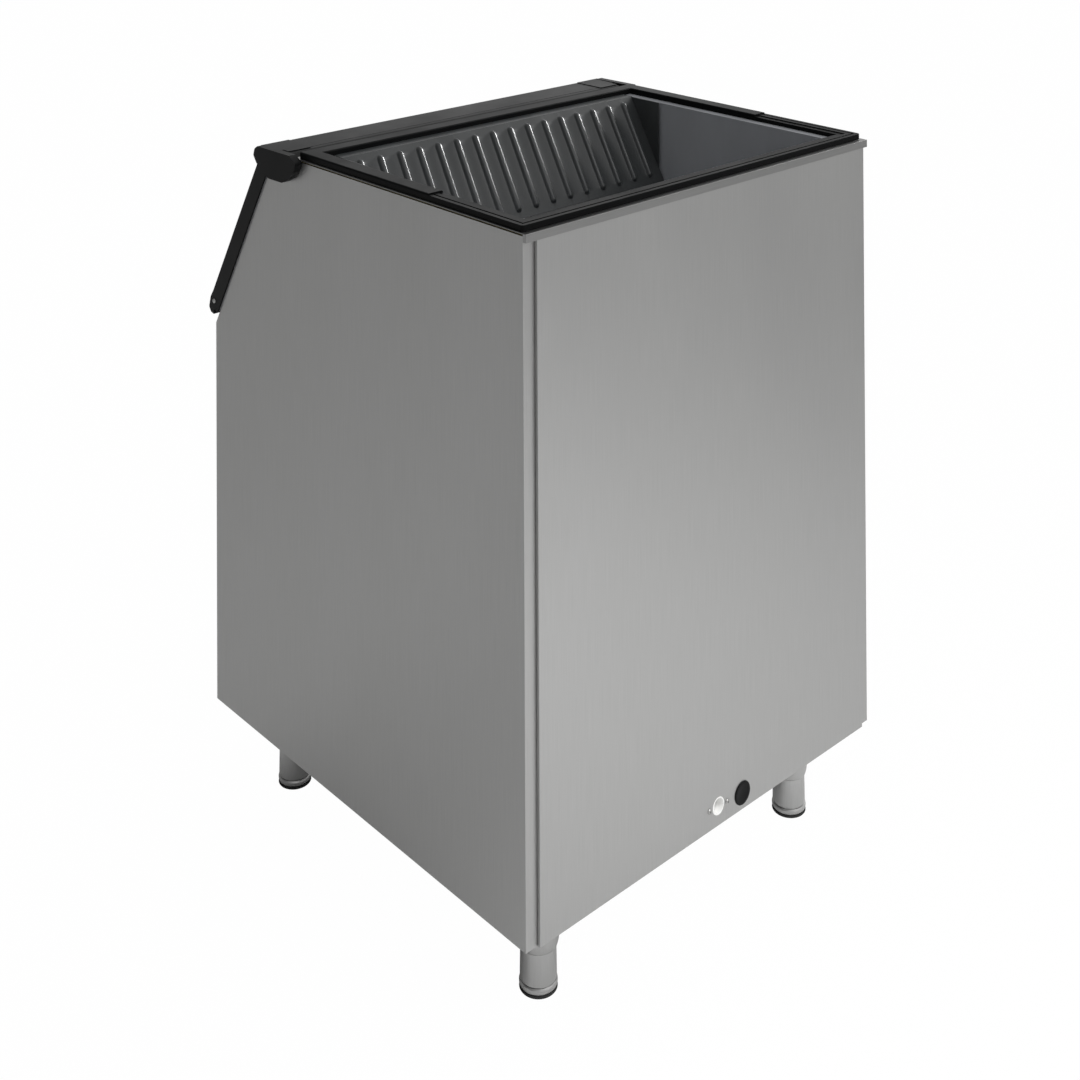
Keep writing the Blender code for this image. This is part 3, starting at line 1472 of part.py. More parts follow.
def centre_shift():
    """Shift along Y that puts the middle of the whole object's depth on the origin."""
    grip = min(y for y, _ in door_outline(HOOD_END_CUTBACK))
    rear = max(TRIM_OUT, PAN_OUT + GAP + SCREW_HEAD_HEIGHT, PAN_OUT + GAP + PLUG_HEAD_HEIGHT)
    return -(grip + rear) / 2


def main():
    """Build the whole bin."""
    CABINET.location.y = centre_shift()
    door_pivot = add_empty("door_pivot", (0.0, PIVOT_Y, PIVOT_Z), CABINET)
    make_side_panels()
    make_rear_panel()
    make_front_panel()
    make_base_panel()
    make_top_frame()
    make_liner()
    make_foam()
    make_rim()
    make_baffle()
    make_door_frame()
    make_hinges(door_pivot)
    make_door_shell(door_pivot)
    make_door_inside(door_pivot)
    make_end_caps(door_pivot)
    make_legs()
    make_drain()


main()
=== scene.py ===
"""Storage bin of a modular ice maker: fine surfaces, finishes, soft light and camera."""

import math

import bpy
from mathutils import Matrix, Vector


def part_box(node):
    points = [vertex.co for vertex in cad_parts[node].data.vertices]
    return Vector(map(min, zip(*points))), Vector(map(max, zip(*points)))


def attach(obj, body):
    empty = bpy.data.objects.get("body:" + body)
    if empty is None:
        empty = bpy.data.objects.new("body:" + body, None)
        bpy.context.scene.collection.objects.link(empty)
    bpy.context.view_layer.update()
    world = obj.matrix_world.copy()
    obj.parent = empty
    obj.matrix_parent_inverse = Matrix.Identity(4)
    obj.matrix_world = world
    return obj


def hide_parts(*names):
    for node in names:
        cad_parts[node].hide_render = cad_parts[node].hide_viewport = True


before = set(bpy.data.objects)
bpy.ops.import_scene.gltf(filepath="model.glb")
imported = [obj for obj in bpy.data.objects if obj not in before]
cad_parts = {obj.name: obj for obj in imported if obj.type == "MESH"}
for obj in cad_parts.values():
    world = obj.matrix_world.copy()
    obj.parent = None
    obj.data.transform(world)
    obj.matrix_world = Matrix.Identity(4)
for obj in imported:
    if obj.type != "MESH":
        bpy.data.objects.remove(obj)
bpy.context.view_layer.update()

bl_info = {
    "name": "Ice Storage Bin",
    "version": (1, 0, 0),
    "blender": (4, 5, 0),
    "location": "3D View > Sidebar > Ice Bin",
    "description": "Builds the fine pieces and finishes of an ice storage bin over its fixed frame",
    "category": "Object",
}

LEGS = ("front_left", "front_right", "rear_left", "rear_right")
SIDES = ("left", "right")

# Two places or heights are the same within this
SAME_PLACE = 0.00005
MERGE_DISTANCE = 0.000005

# Baffle: widths of its hook and cheeks, how far the cheek starts below the bend
BAFFLE_HOOK = 0.023
CHEEK_DEPTH = 0.0698
CHEEK_START = 0.0015
BAFFLE_TRIM = 0.0008
# A bead's crown is round up to this share of its radius
CROWN_SHARE = 0.80

# Legs: gap between the pieces, stud of the collar, wall of the tube, play of the collar's spigot
LEG_GAP = 0.0003
COLLAR_STUD = 0.006
TUBE_WALL = 0.002
TUBE_LEDGE = 0.012
SPIGOT_INSET = 0.0023
FOOT_STUD = 0.0080
FOOT_STUD_HOLE = 0.0083
THREAD_ROOT = 0.0073
THREAD_PITCH = 0.0017
# In from the collar's radius, above its seam with the tube
COLLAR_SHOULDER = (
    (0.0004, 0.0140), (0.0006, 0.0110), (0.0010, 0.0080), (0.0017, 0.0050),
    (0.0025, 0.0022), (0.0033, 0.0004), (0.0038, 0.0),
)
# In from the foot's radius, below the tube
FOOT_BELL = (
    (0.0026, 0.0), (0.0014, 0.0005), (0.0005, 0.0018), (0.0, 0.0042),
    (0.0002, 0.0064), (0.0008, 0.0084),
)

# Drain: outlet pipe, flange and bore of the fitting
PIPE_RADIUS = 0.013
PIPE_WALL = 0.002
PIPE_BEND = 0.022
FLANGE_RADIUS = 0.0240
FLANGE_THICKNESS = 0.0025
NECK_RADIUS = 0.0107
BORE_RADIUS = 0.0085
# Radius and depth below the top of a screw's head, with its shank and half sizes of its cross
SCREW_HEAD = (
    (0.0, 0.0), (0.0014, 0.0001), (0.0027, 0.0004), (0.0036, 0.0010), (0.0040, 0.0016),
    (0.0040, 0.0018), (0.0018, 0.0018),
)
SCREW_SHANK = 0.0018
CROSS_LONG = 0.0019
CROSS_SHORT = 0.0004
CROSS_DEPTH = 0.0009
# Radius and depth below the top of the plug's face
PLUG_FACE = (
    (0.0, 0.0003), (0.0118, 0.0003), (0.0124, 0.0001), (0.0130, 0.0), (0.0163, 0.0),
    (0.0171, 0.0003), (0.0175, 0.0008), (0.0175, 0.0012), (0.0147, 0.0012),
)
PLUG_SHANK = 0.0147

# Cosines between which the surroundings turn from dark to light
SHADE_FROM = -0.7
SHADE_TO = 1.0


class BinSizes(bpy.types.PropertyGroup):
    """Sizes of the fine forms."""

    sheet_bend: bpy.props.FloatProperty(
        name="Sheet edge rounding", description="Rounding of the steel panels' edges",
        default=0.0004, min=0.0001, max=0.002, unit="LENGTH", precision=5,
    )
    fold_radius: bpy.props.FloatProperty(
        name="Fold radius", description="Radius of the folds at the cabinet's rear corners",
        default=0.0009, min=0.0002, max=0.003, unit="LENGTH", precision=5,
    )
    pan_radius: bpy.props.FloatProperty(
        name="Pan radius", description="Radius of the folds round the rear panel",
        default=0.0012, min=0.0002, max=0.004, unit="LENGTH", precision=5,
    )
    moulded_edge: bpy.props.FloatProperty(
        name="Moulded edge rounding", description="Rounding of the rim's and the door's edges",
        default=0.0007, min=0.0001, max=0.003, unit="LENGTH", precision=5,
    )
    cap_edge: bpy.props.FloatProperty(
        name="End cap rounding", description="Rounding of the end caps' edges",
        default=0.0012, min=0.0001, max=0.004, unit="LENGTH", precision=5,
    )
    bead_radius: bpy.props.FloatProperty(
        name="Bead radius", description="Radius of the pressed beads of the baffle",
        default=0.006, min=0.002, max=0.010, unit="LENGTH", precision=5,
    )
    bead_foot: bpy.props.FloatProperty(
        name="Bead foot", description="Distance from a bead's axis at which its fillet ends",
        default=0.0072, min=0.003, max=0.012, unit="LENGTH", precision=5,
    )
    bead_pitch: bpy.props.FloatProperty(
        name="Bead pitch", description="Distance between neighbouring beads",
        default=0.040, min=0.02, max=0.08, unit="LENGTH", precision=5,
    )
    bead_count: bpy.props.IntProperty(
        name="Beads", description="Number of beads across the baffle", default=16, min=1, max=30,
    )
    bead_start: bpy.props.FloatProperty(
        name="Bead start", description="Distance from the baffle's top bend to the beads",
        default=0.009, min=0.0, max=0.05, unit="LENGTH", precision=5,
    )
    bead_length: bpy.props.FloatProperty(
        name="Bead length", description="Length of a bead with its round ends",
        default=0.143, min=0.03, max=0.2, unit="LENGTH", precision=5,
    )
    baffle_sheet: bpy.props.FloatProperty(
        name="Baffle sheet", description="Thickness of the baffle",
        default=0.002, min=0.0005, max=0.004, unit="LENGTH", precision=5,
    )
    round_sides: bpy.props.IntProperty(
        name="Round sides", description="Number of sides of turned pieces",
        default=72, min=12, max=200,
    )


class BinColours(bpy.types.PropertyGroup):
    """Colours of the finishes."""

    steel: bpy.props.FloatVectorProperty(
        name="Stainless steel", description="Colour of the brushed stainless panels",
        default=(0.470, 0.470, 0.464), min=0.0, max=1.0, subtype="COLOR",
    )
    plated: bpy.props.FloatVectorProperty(
        name="Plated steel", description="Colour of zinc plated hardware",
        default=(0.46, 0.46, 0.45), min=0.0, max=1.0, subtype="COLOR",
    )
    rim: bpy.props.FloatVectorProperty(
        name="Rim", description="Colour of the black rim and the door frame",
        default=(0.0050, 0.0053, 0.0056), min=0.0, max=1.0, subtype="COLOR",
    )
    door: bpy.props.FloatVectorProperty(
        name="Door", description="Colour of the door, its hood and its end caps",
        default=(0.0060, 0.0063, 0.0066), min=0.0, max=1.0, subtype="COLOR",
    )
    liner: bpy.props.FloatVectorProperty(
        name="Liner", description="Colour of the inner liner",
        default=(0.340, 0.350, 0.370), min=0.0, max=1.0, subtype="COLOR",
    )
    baffle: bpy.props.FloatVectorProperty(
        name="Baffle", description="Colour of the ribbed baffle",
        default=(0.034, 0.037, 0.038), min=0.0, max=1.0, subtype="COLOR",
    )
    white: bpy.props.FloatVectorProperty(
        name="White plastic", description="Colour of the drain pipe and fitting",
        default=(0.90, 0.90, 0.88), min=0.0, max=1.0, subtype="COLOR",
    )
    # Near-black foam colour: painted shade, so that the foam seen through the slit under the rim
    # reads as a dark gap
    foam: bpy.props.FloatVectorProperty(
        name="Foam", description="Colour of the insulating foam",
        default=(0.028, 0.028, 0.028), min=0.0, max=1.0, subtype="COLOR",
    )
    rubber: bpy.props.FloatVectorProperty(
        name="Rubber", description="Colour of the seal and the foot pads",
        default=(0.020, 0.020, 0.020), min=0.0, max=1.0, subtype="COLOR",
    )


class StageSettings(bpy.types.PropertyGroup):
    """Camera, lamps and floor."""

    camera_place: bpy.props.FloatVectorProperty(
        name="Camera place", description="Place of the camera",
        default=(1.81658, 2.01352, 1.75723), subtype="TRANSLATION", unit="LENGTH", precision=4,
    )
    camera_heading: bpy.props.FloatProperty(
        name="Camera heading", description="Turn of the camera about the vertical",
        default=2.40226, subtype="ANGLE", unit="ROTATION",
    )
    camera_tilt: bpy.props.FloatProperty(
        name="Camera tilt", description="Tilt of the camera up from looking straight down",
        default=1.57948, subtype="ANGLE", unit="ROTATION",
    )
    camera_roll: bpy.props.FloatProperty(
        name="Camera roll", description="Turn of the camera about its own line of sight",
        default=-0.00461, subtype="ANGLE", unit="ROTATION",
    )
    camera_lens: bpy.props.FloatProperty(
        name="Lens", description="Focal length on a 36 mm sensor, in millimetres",
        default=53.269, min=10.0,
    )
    camera_shift: bpy.props.FloatProperty(
        name="Shift", description="Downward shift that keeps upright lines parallel",
        default=-0.74411,
    )
    floor_lamp_power: bpy.props.FloatProperty(
        name="Floor lamp", description="Power of the lamp over the floor behind the bin",
        default=14.0, min=0.0, unit="POWER",
    )
    side_lamp_power: bpy.props.FloatProperty(
        name="Side lamp", description="Power of the low lamp that rakes over the baffle",
        default=8.5, min=0.0, unit="POWER",
    )
    back_lamp_power: bpy.props.FloatProperty(
        name="Back lamp", description="Power of the lamp that shines on the hood and the rim",
        default=3.0, min=0.0, unit="POWER",
    )
    light_side: bpy.props.FloatVectorProperty(
        name="Light side", description="Direction in which the surroundings are lightest",
        default=(-0.60, 0.60, 0.55), subtype="DIRECTION",
    )
    world_light: bpy.props.FloatProperty(
        name="Light surroundings", description="Strength of the surroundings on the light side",
        default=0.85, min=0.0, max=2.0,
    )
    world_dark: bpy.props.FloatProperty(
        name="Dark surroundings", description="Strength of the surroundings on the dark side",
        default=0.09, min=0.0, max=2.0,
    )
    floor_grey: bpy.props.FloatProperty(
        name="Floor grey", description="Lightness of the floor", default=0.80, min=0.0, max=1.0,
    )
    floor_white: bpy.props.FloatProperty(
        name="Floor white", description="Share of plain white in what the camera sees of the floor",
        default=0.99, min=0.0, max=1.0,
    )


# Finishes


def new_finish(name, metallic, specular=0.5):
    """Material with an empty Principled shader and Object coordinates."""
    material = bpy.data.materials.new(name)
    material.use_nodes = True
    tree = material.node_tree
    shader = tree.nodes["Principled BSDF"]
    shader.inputs["Metallic"].default_value = metallic
    shader.inputs["Specular IOR Level"].default_value = specular
    place = tree.nodes.new("ShaderNodeTexCoord")
    return material, tree, shader, place.outputs["Object"]


def add_noise(tree, place, stretch, scale, detail=4.0):
    """Noise over stretched coordinates."""
    mapping = tree.nodes.new("ShaderNodeMapping")
    mapping.inputs["Scale"].default_value = stretch
    tree.links.new(place, mapping.inputs["Vector"])
    noise = tree.nodes.new("ShaderNodeTexNoise")
    noise.inputs["Scale"].default_value = scale
    noise.inputs["Detail"].default_value = detail
    noise.inputs["Roughness"].default_value = 0.55
    tree.links.new(mapping.outputs["Vector"], noise.inputs["Vector"])
    return noise.outputs["Fac"]


def add_ramp(tree, value, low, high, start=0.3, end=0.7):
    """Colour between two tones that follows a value."""
    ramp = tree.nodes.new("ShaderNodeValToRGB")
    ramp.color_ramp.elements[0].position = start
    ramp.color_ramp.elements[0].color = (*low, 1.0)
    ramp.color_ramp.elements[1].position = end
    ramp.color_ramp.elements[1].color = (*high, 1.0)
    tree.links.new(value, ramp.inputs["Fac"])
    return ramp.outputs["Color"]


def add_range(tree, value, low, high):
    """Number between two limits that follows a value."""
    spread = tree.nodes.new("ShaderNodeMapRange")
    spread.inputs["From Min"].default_value = 0.3
    spread.inputs["From Max"].default_value = 0.7
    spread.inputs["To Min"].default_value = low
    spread.inputs["To Max"].default_value = high
    tree.links.new(value, spread.inputs["Value"])
    return spread.outputs["Result"]


def add_bump(tree, value, strength, distance, under=None):
    """Bump from a height, laid over another bump where there is one."""
    bump = tree.nodes.new("ShaderNodeBump")
    bump.inputs["Strength"].default_value = strength
    bump.inputs["Distance"].default_value = distance
    tree.links.new(value, bump.inputs["Height"])
    if under:
        tree.links.new(under, bump.inputs["Normal"])
    return bump.outputs["Normal"]


def scaled(colour, factor):
    """A colour made lighter or darker."""
    return tuple(min(1.0, part * factor) for part in colour)


def brushed_steel(name, colour, grain, roughness=0.42):
    """Stainless sheet with a fine grain along an axis, faint smears and slight waviness."""
    material, tree, shader, place = new_finish(name, 1.0)
    fine = add_noise(tree, place, grain, 900.0, 3.0)
    smear = add_noise(tree, place, tuple(0.4 + 0.6 * (part > 0.5) for part in grain), 5.0, 5.0)
    wave = add_noise(tree, place, (1.0, 1.0, 1.0), 2.2, 1.0)
    tone = add_ramp(tree, fine, scaled(colour, 0.965), scaled(colour, 1.035))
    cloud = add_ramp(tree, smear, (0.975, 0.975, 0.98), (1.0, 1.0, 1.0))
    mix = tree.nodes.new("ShaderNodeMix")
    mix.data_type = "RGBA"
    mix.blend_type = "MULTIPLY"
    mix.inputs["Factor"].default_value = 1.0
    tree.links.new(tone, mix.inputs["A"])
    tree.links.new(cloud, mix.inputs["B"])
    tree.links.new(mix.outputs["Result"], shader.inputs["Base Color"])
    tree.links.new(
        add_range(tree, smear, roughness - 0.03, roughness + 0.04), shader.inputs["Roughness"],
    )
    normal = add_bump(tree, wave, 0.05, 0.002)
    tree.links.new(add_bump(tree, fine, 0.06, 0.0001, normal), shader.inputs["Normal"])
    return material


def moulded_plastic(name, colour, roughness, grain=0.00035, depth=0.25, specular=0.45):
    """Moulded plastic with a fine leather-like grain and uneven sheen."""
    material, tree, shader, place = new_finish(name, 0.0, specular)
    fine = add_noise(tree, place, (1.0, 1.0, 1.0), 1.0 / (4.0 * grain), 3.0)
    patch = add_noise(tree, place, (1.0, 1.0, 1.0), 9.0, 4.0)
    tree.links.new(
        add_ramp(tree, patch, scaled(colour, 0.88), scaled(colour, 1.12)),
        shader.inputs["Base Color"],
    )
    tree.links.new(
        add_range(tree, patch, roughness - 0.05, roughness + 0.05), shader.inputs["Roughness"],
    )
    tree.links.new(add_bump(tree, fine, depth, grain / 3.0), shader.inputs["Normal"])
    return material


def formed_sheet(name, colour, roughness, peel_depth=0.12):
    """Vacuum-formed plastic sheet: smooth, with faint flow marks and orange peel."""
    material, tree, shader, place = new_finish(name, 0.0, 0.5)
    flow = add_noise(tree, place, (1.0, 1.0, 0.25), 14.0, 5.0)
    peel = add_noise(tree, place, (1.0, 1.0, 1.0), 260.0, 2.0)
    tree.links.new(
        add_ramp(tree, flow, scaled(colour, 0.92), scaled(colour, 1.08)),
        shader.inputs["Base Color"],
    )
    tree.links.new(
        add_range(tree, flow, roughness - 0.04, roughness + 0.06), shader.inputs["Roughness"],
    )
    tree.links.new(add_bump(tree, peel, peel_depth, 0.0004), shader.inputs["Normal"])
    return material


def zinc_plating(name, colour):
    """Zinc plated steel with faint spangles."""
    material, tree, shader, place = new_finish(name, 1.0)
    cells = tree.nodes.new("ShaderNodeTexVoronoi")
    cells.inputs["Scale"].default_value = 420.0
    tree.links.new(place, cells.inputs["Vector"])
    patch = add_noise(tree, place, (1.0, 1.0, 1.0), 60.0, 4.0)
    tree.links.new(
        add_ramp(tree, cells.outputs["Distance"], scaled(colour, 0.9), scaled(colour, 1.08)),
        shader.inputs["Base Color"],
    )
    tree.links.new(add_range(tree, patch, 0.30, 0.46), shader.inputs["Roughness"])
    tree.links.new(add_bump(tree, patch, 0.08, 0.0004), shader.inputs["Normal"])
    return material


def rigid_foam(name, colour):
    """Cut rigid foam with small open cells."""
    material, tree, shader, place = new_finish(name, 0.0, 0.2)
    cells = tree.nodes.new("ShaderNodeTexVoronoi")
    cells.inputs["Scale"].default_value = 600.0
    tree.links.new(place, cells.inputs["Vector"])
    patch = add_noise(tree, place, (1.0, 1.0, 1.0), 12.0, 4.0)
    tree.links.new(
        add_ramp(tree, patch, scaled(colour, 0.85), scaled(colour, 1.1)),
        shader.inputs["Base Color"],
    )
    tree.links.new(add_range(tree, patch, 0.85, 0.98), shader.inputs["Roughness"])
    tree.links.new(add_bump(tree, cells.outputs["Distance"], 0.6, 0.001), shader.inputs["Normal"])
    return material


def finish_named(name):
    """A finish, made once from the colours of the add-on."""
    if name in bpy.data.materials:
        return bpy.data.materials[name]
    colours = bpy.context.scene.bin_colours
    steel = tuple(colours.steel)
    rim = tuple(colours.rim)
    along_z = (1.0, 1.0, 0.012)
    along_x = (0.012, 1.0, 1.0)
    makers = {
        "steel_upright": lambda: brushed_steel(name, steel, along_z),
        "steel_level": lambda: brushed_steel(name, steel, along_x),
        # Trim steel is the panels' steel darkened to three quarters: painted shade standing in for
        # the darker reflection of the folded trim at the top of the rear panel
        "shaded_trim_steel": lambda: brushed_steel(name, scaled(steel, 0.75), along_x, 0.34),
        "leg_steel": lambda: brushed_steel(name, scaled(steel, 1.10), (1.0, 1.0, 0.03), 0.30),
        "plated": lambda: zinc_plating(name, tuple(colours.plated)),
        "rim_black": lambda: moulded_plastic(name, rim, 0.40, specular=0.06),
        "door_black": lambda: moulded_plastic(name, tuple(colours.door), 0.42, specular=0.12),
        "plug_black": lambda: moulded_plastic(name, rim, 0.50, specular=0.12),
        "liner_grey": lambda: formed_sheet(name, tuple(colours.liner), 0.42),
        "baffle_grey": lambda: formed_sheet(name, tuple(colours.baffle), 0.34, 0.05),
        "white_pipe": lambda: moulded_plastic(
            name, tuple(colours.white), 0.35, 0.0006, 0.08, 0.5,
        ),
        # The foam finish takes the near-black foam colour, which is painted shade for the slit
        # under the rim
        "foam": lambda: rigid_foam(name, tuple(colours.foam)),
        "rubber": lambda: moulded_plastic(name, tuple(colours.rubber), 0.70, 0.0005, 0.3, 0.3),
    }
    return makers[name]()


# Modelling


def only(item):
    """Leave edit mode and select one object."""
    if bpy.context.object and bpy.context.object.mode != "OBJECT":
        bpy.ops.object.mode_set(mode="OBJECT")
    bpy.ops.object.select_all(action="DESELECT")
    item.select_set(True)
    bpy.context.view_layer.objects.active = item


def nothing():
    """Deselect everything before a primitive is added."""
    if bpy.context.object and bpy.context.object.mode != "OBJECT":
        bpy.ops.object.mode_set(mode="OBJECT")
    bpy.ops.object.select_all(action="DESELECT")


def smooth(item, angle=35.0, flat=False):
    """Smooth shading up to an angle, which can leave large flat faces truly flat."""
    only(item)
    bpy.ops.object.shade_smooth_by_angle(angle=math.radians(angle))
    if flat:
        modifier = item.modifiers.new("Flat faces", "WEIGHTED_NORMAL")
        modifier.mode = "FACE_AREA"
        modifier.weight = 100
        modifier.keep_sharp = True
        bpy.ops.object.modifier_apply(modifier=modifier.name)


def bevel(item, width, segments=2, angle=30.0):
    """Round the sharp edges with a modifier and apply it."""
    only(item)
    modifier = item.modifiers.new("Rounding", "BEVEL")
    modifier.width = width
    modifier.segments = segments
    modifier.limit_method = "ANGLE"
    modifier.angle_limit = math.radians(angle)
    modifier.harden_normals = False
    bpy.ops.object.modifier_apply(modifier=modifier.name)


def finish(item, body, material, nodes=()):
    """Settle a piece: place in its mesh, finish, body and the nodes it stands for."""
    only(item)
    bpy.ops.object.transform_apply(location=True, rotation=True, scale=True)
    item.data.materials.clear()
    item.data.materials.append(finish_named(material))
    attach(item, body)
    if nodes:
        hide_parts(*nodes)
    return item


def dress(node, material):
    """Give a CAD node a finish and leave its shape as it is."""
    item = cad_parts[node]
    if not item.material_slots:
        item.data.materials.append(finish_named(material))
    for place in item.material_slots:
        place.material = finish_named(material)


def merged_copy(node, name, merge=MERGE_DISTANCE):
    """Copy of a node with its loose faces merged and its flat faces whole."""
    item = bpy.data.objects.new(name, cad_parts[node].data.copy())
    bpy.context.scene.collection.objects.link(item)
    only(item)
    bpy.ops.object.mode_set(mode="EDIT")
    bpy.ops.mesh.select_all(action="SELECT")
    bpy.ops.mesh.remove_doubles(threshold=merge)
    bpy.ops.mesh.dissolve_limited(angle_limit=math.radians(0.5))
    bpy.ops.object.mode_set(mode="OBJECT")
    return item


def eased_copy(node, name, width, segments=2, angle=30.0, shade=None):
    """Copy of a node with its loose faces merged and its edges rounded."""
    item = merged_copy(node, name)
    bevel(item, width, segments, angle)
    smooth(item, shade or angle, True)
    return item


def placed_copy(item, name, offset):
    """Copy of a finished piece with its own mesh, moved to another place."""
    copy = bpy.data.objects.new(name, item.data.copy())
    bpy.context.scene.collection.objects.link(copy)
    copy.data.transform(Matrix.Translation(offset))
    return copy


def middle_of(node):
    """Middle of a node's box."""
    low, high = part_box(node)
    return (low + high) / 2


def bend_edges(item, chosen, radius, segments=4):
    """Round the edges of which both ends lie on chosen places."""
    only(item)
    bpy.ops.object.mode_set(mode="EDIT")
    bpy.ops.mesh.select_mode(type="EDGE")
    bpy.ops.mesh.select_all(action="DESELECT")
    bpy.ops.object.mode_set(mode="OBJECT")
    corners = item.data.vertices
    for edge in item.data.edges:
        edge.select = all(chosen(corners[index].co) for index in edge.vertices)
    bpy.ops.object.mode_set(mode="EDIT")
    bpy.ops.mesh.bevel(offset=radius, segments=segments, affect="EDGES")
    bpy.ops.object.mode_set(mode="OBJECT")


def turned(name, profile, centre, axis="Z", closed=False):
    """Draw a profile of (radius, height) by extruding a point, spin it round and close the seam."""
    sizes = bpy.context.scene.bin_sizes
    centre = Vector(centre)
    spin_axis = {"X": (1, 0, 0), "Y": (0, 1, 0), "Z": (0, 0, 1)}[axis]
    places = {
        "X": lambda r, h: Vector((h, 0.0, r)),
        "Y": lambda r, h: Vector((r, h, 0.0)),
        "Z": lambda r, h: Vector((r, 0.0, h)),
    }[axis]
    points = [centre + places(r, h) for r, h in profile]
    nothing()
    bpy.ops.mesh.primitive_plane_add(size=0.001, location=points[0])
    item = bpy.context.object
    item.name = name
    bpy.ops.object.mode_set(mode="EDIT")
    bpy.ops.mesh.select_mode(type="VERT")
    bpy.ops.mesh.select_all(action="SELECT")
    bpy.ops.mesh.merge(type="CENTER")
    path = list(zip(points, points[1:]))
    if closed:
        path.append((points[-1], points[0]))
    for start, end in path:
        bpy.ops.mesh.extrude_vertices_move(TRANSFORM_OT_translate={"value": tuple(end - start)})
    bpy.ops.mesh.select_all(action="SELECT")
    bpy.ops.mesh.remove_doubles(threshold=MERGE_DISTANCE)
    bpy.ops.mesh.select_all(action="SELECT")
    bpy.ops.mesh.spin(steps=sizes.round_sides, angle=2 * math.pi, center=centre, axis=spin_axis)
    bpy.ops.mesh.select_all(action="SELECT")
    bpy.ops.mesh.remove_doubles(threshold=MERGE_DISTANCE)
    bpy.ops.mesh.normals_make_consistent(inside=False)
    bpy.ops.object.mode_set(mode="OBJECT")
    return item


def block(name, low, high):
    """Box between two corners, for cutting or as a start."""
    nothing()
    low, high = Vector(low), Vector(high)
    bpy.ops.mesh.primitive_cube_add(size=1.0, location=(low + high) / 2)
    item = bpy.context.object
    item.name = name
    item.scale = high - low
    bpy.ops.object.transform_apply(location=True, rotation=True, scale=True)
    return item


def cut_away(item, tool):
    """Cut a shape out of a piece and delete the shape."""
    only(item)
    modifier = item.modifiers.new("Cut", "BOOLEAN")
    modifier.operation = "DIFFERENCE"
    modifier.solver = "EXACT"
    modifier.object = tool
    bpy.ops.object.modifier_apply(modifier=modifier.name)
    bpy.data.objects.remove(tool, do_unlink=True)


# Pieces


class ICEBIN_OT_panels(bpy.types.Operator):
    """Steel panels of the cabinet with softly rounded sheet edges"""

    bl_idname = "icebin.panels"
    bl_label = "Cabinet Panels"

    def execute(self, context):
        sizes = context.scene.bin_sizes
        bend = sizes.sheet_bend
        for side in SIDES:
            node = "side_panel_" + side
            low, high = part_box(node)
            outer = max(abs(low.x), abs(high.x))
            item = merged_copy(node, "side_sheet_" + side, 0.00012)
            bend_edges(
                item,
                lambda place: abs(abs(place.x) - outer) < 2 * SAME_PLACE
                and abs(place.y - high.y) < 2 * SAME_PLACE,
                sizes.fold_radius, 3,
            )
            bevel(item, bend)
            smooth(item, flat=True)
            finish(item, "cabinet", "steel_upright", (node,))
        low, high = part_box("rear_panel")
        item = merged_copy("rear_panel", "rear_pan")
        bend_edges(
            item,
            lambda place: abs(place.y - high.y) < SAME_PLACE and (
                abs(abs(place.x) - high.x) < SAME_PLACE
                or min(abs(place.z - low.z), abs(place.z - high.z)) < SAME_PLACE
            ),
            sizes.pan_radius, 5,
        )
        bevel(item, bend)
        smooth(item, flat=True)
        finish(item, "cabinet", "steel_upright", ("rear_panel",))
        item = eased_copy("front_panel", "front_sheet", bend)
        finish(item, "cabinet", "steel_upright", ("front_panel",))
        item = eased_copy("header_cover", "header_fold", bend)
        finish(item, "cabinet", "steel_level", ("header_cover",))
        item = eased_copy("base_panel", "base_sheet", bend)
        finish(item, "cabinet", "steel_level", ("base_panel",))
        item = eased_copy("top_frame", "mouth_frame", bend)
        # The trim gets the darker copy of the panels' steel, which is painted shade
        finish(item, "cabinet", "shaded_trim_steel", ("top_frame",))
        return {"FINISHED"}


class ICEBIN_OT_rim(bpy.types.Operator):
    """Black moulded rim that carries the ice maker"""

    bl_idname = "icebin.rim"
    bl_label = "Rim"

    def execute(self, context):
        item = eased_copy("rim", "seat_rim", context.scene.bin_sizes.moulded_edge, 3, 32.0)
        finish(item, "cabinet", "rim_black", ("rim",))
        return {"FINISHED"}


class ICEBIN_OT_liner(bpy.types.Operator):
    """Inner liner and the foam behind it"""

    bl_idname = "icebin.liner"
    bl_label = "Liner"

    def execute(self, context):
        item = eased_copy("liner", "inner_liner", 0.5 * context.scene.bin_sizes.moulded_edge)
        finish(item, "cabinet", "liner_grey", ("liner",))
        dress("foam_insulation", "foam")
        return {"FINISHED"}


def baffle_lines(sizes, ends):
    """Places of the grid's lines across one bead, close together where its flank is steep."""
    steps = (0.0, 0.25, 0.48, 0.64, 0.74, 0.81, 0.87, 0.93, 1.0)
    reach = [sizes.bead_foot * step for step in steps]
    if ends:
        return reach
    return [-part for part in reversed(reach[1:])] + reach


def bead_height(distance, radius, foot):
    """Height of a bead's skin at a distance from its axis: a round crown and a small fillet."""
    edge = CROWN_SHARE * radius
    if distance <= edge:
        return math.sqrt(radius * radius - distance * distance)
    if distance >= foot:
        return 0.0
    start = math.sqrt(radius * radius - edge * edge)
    part = (distance - edge) / (foot - edge)
    return start * (1.0 - part) ** 2 * (1.0 + 0.35 * part)


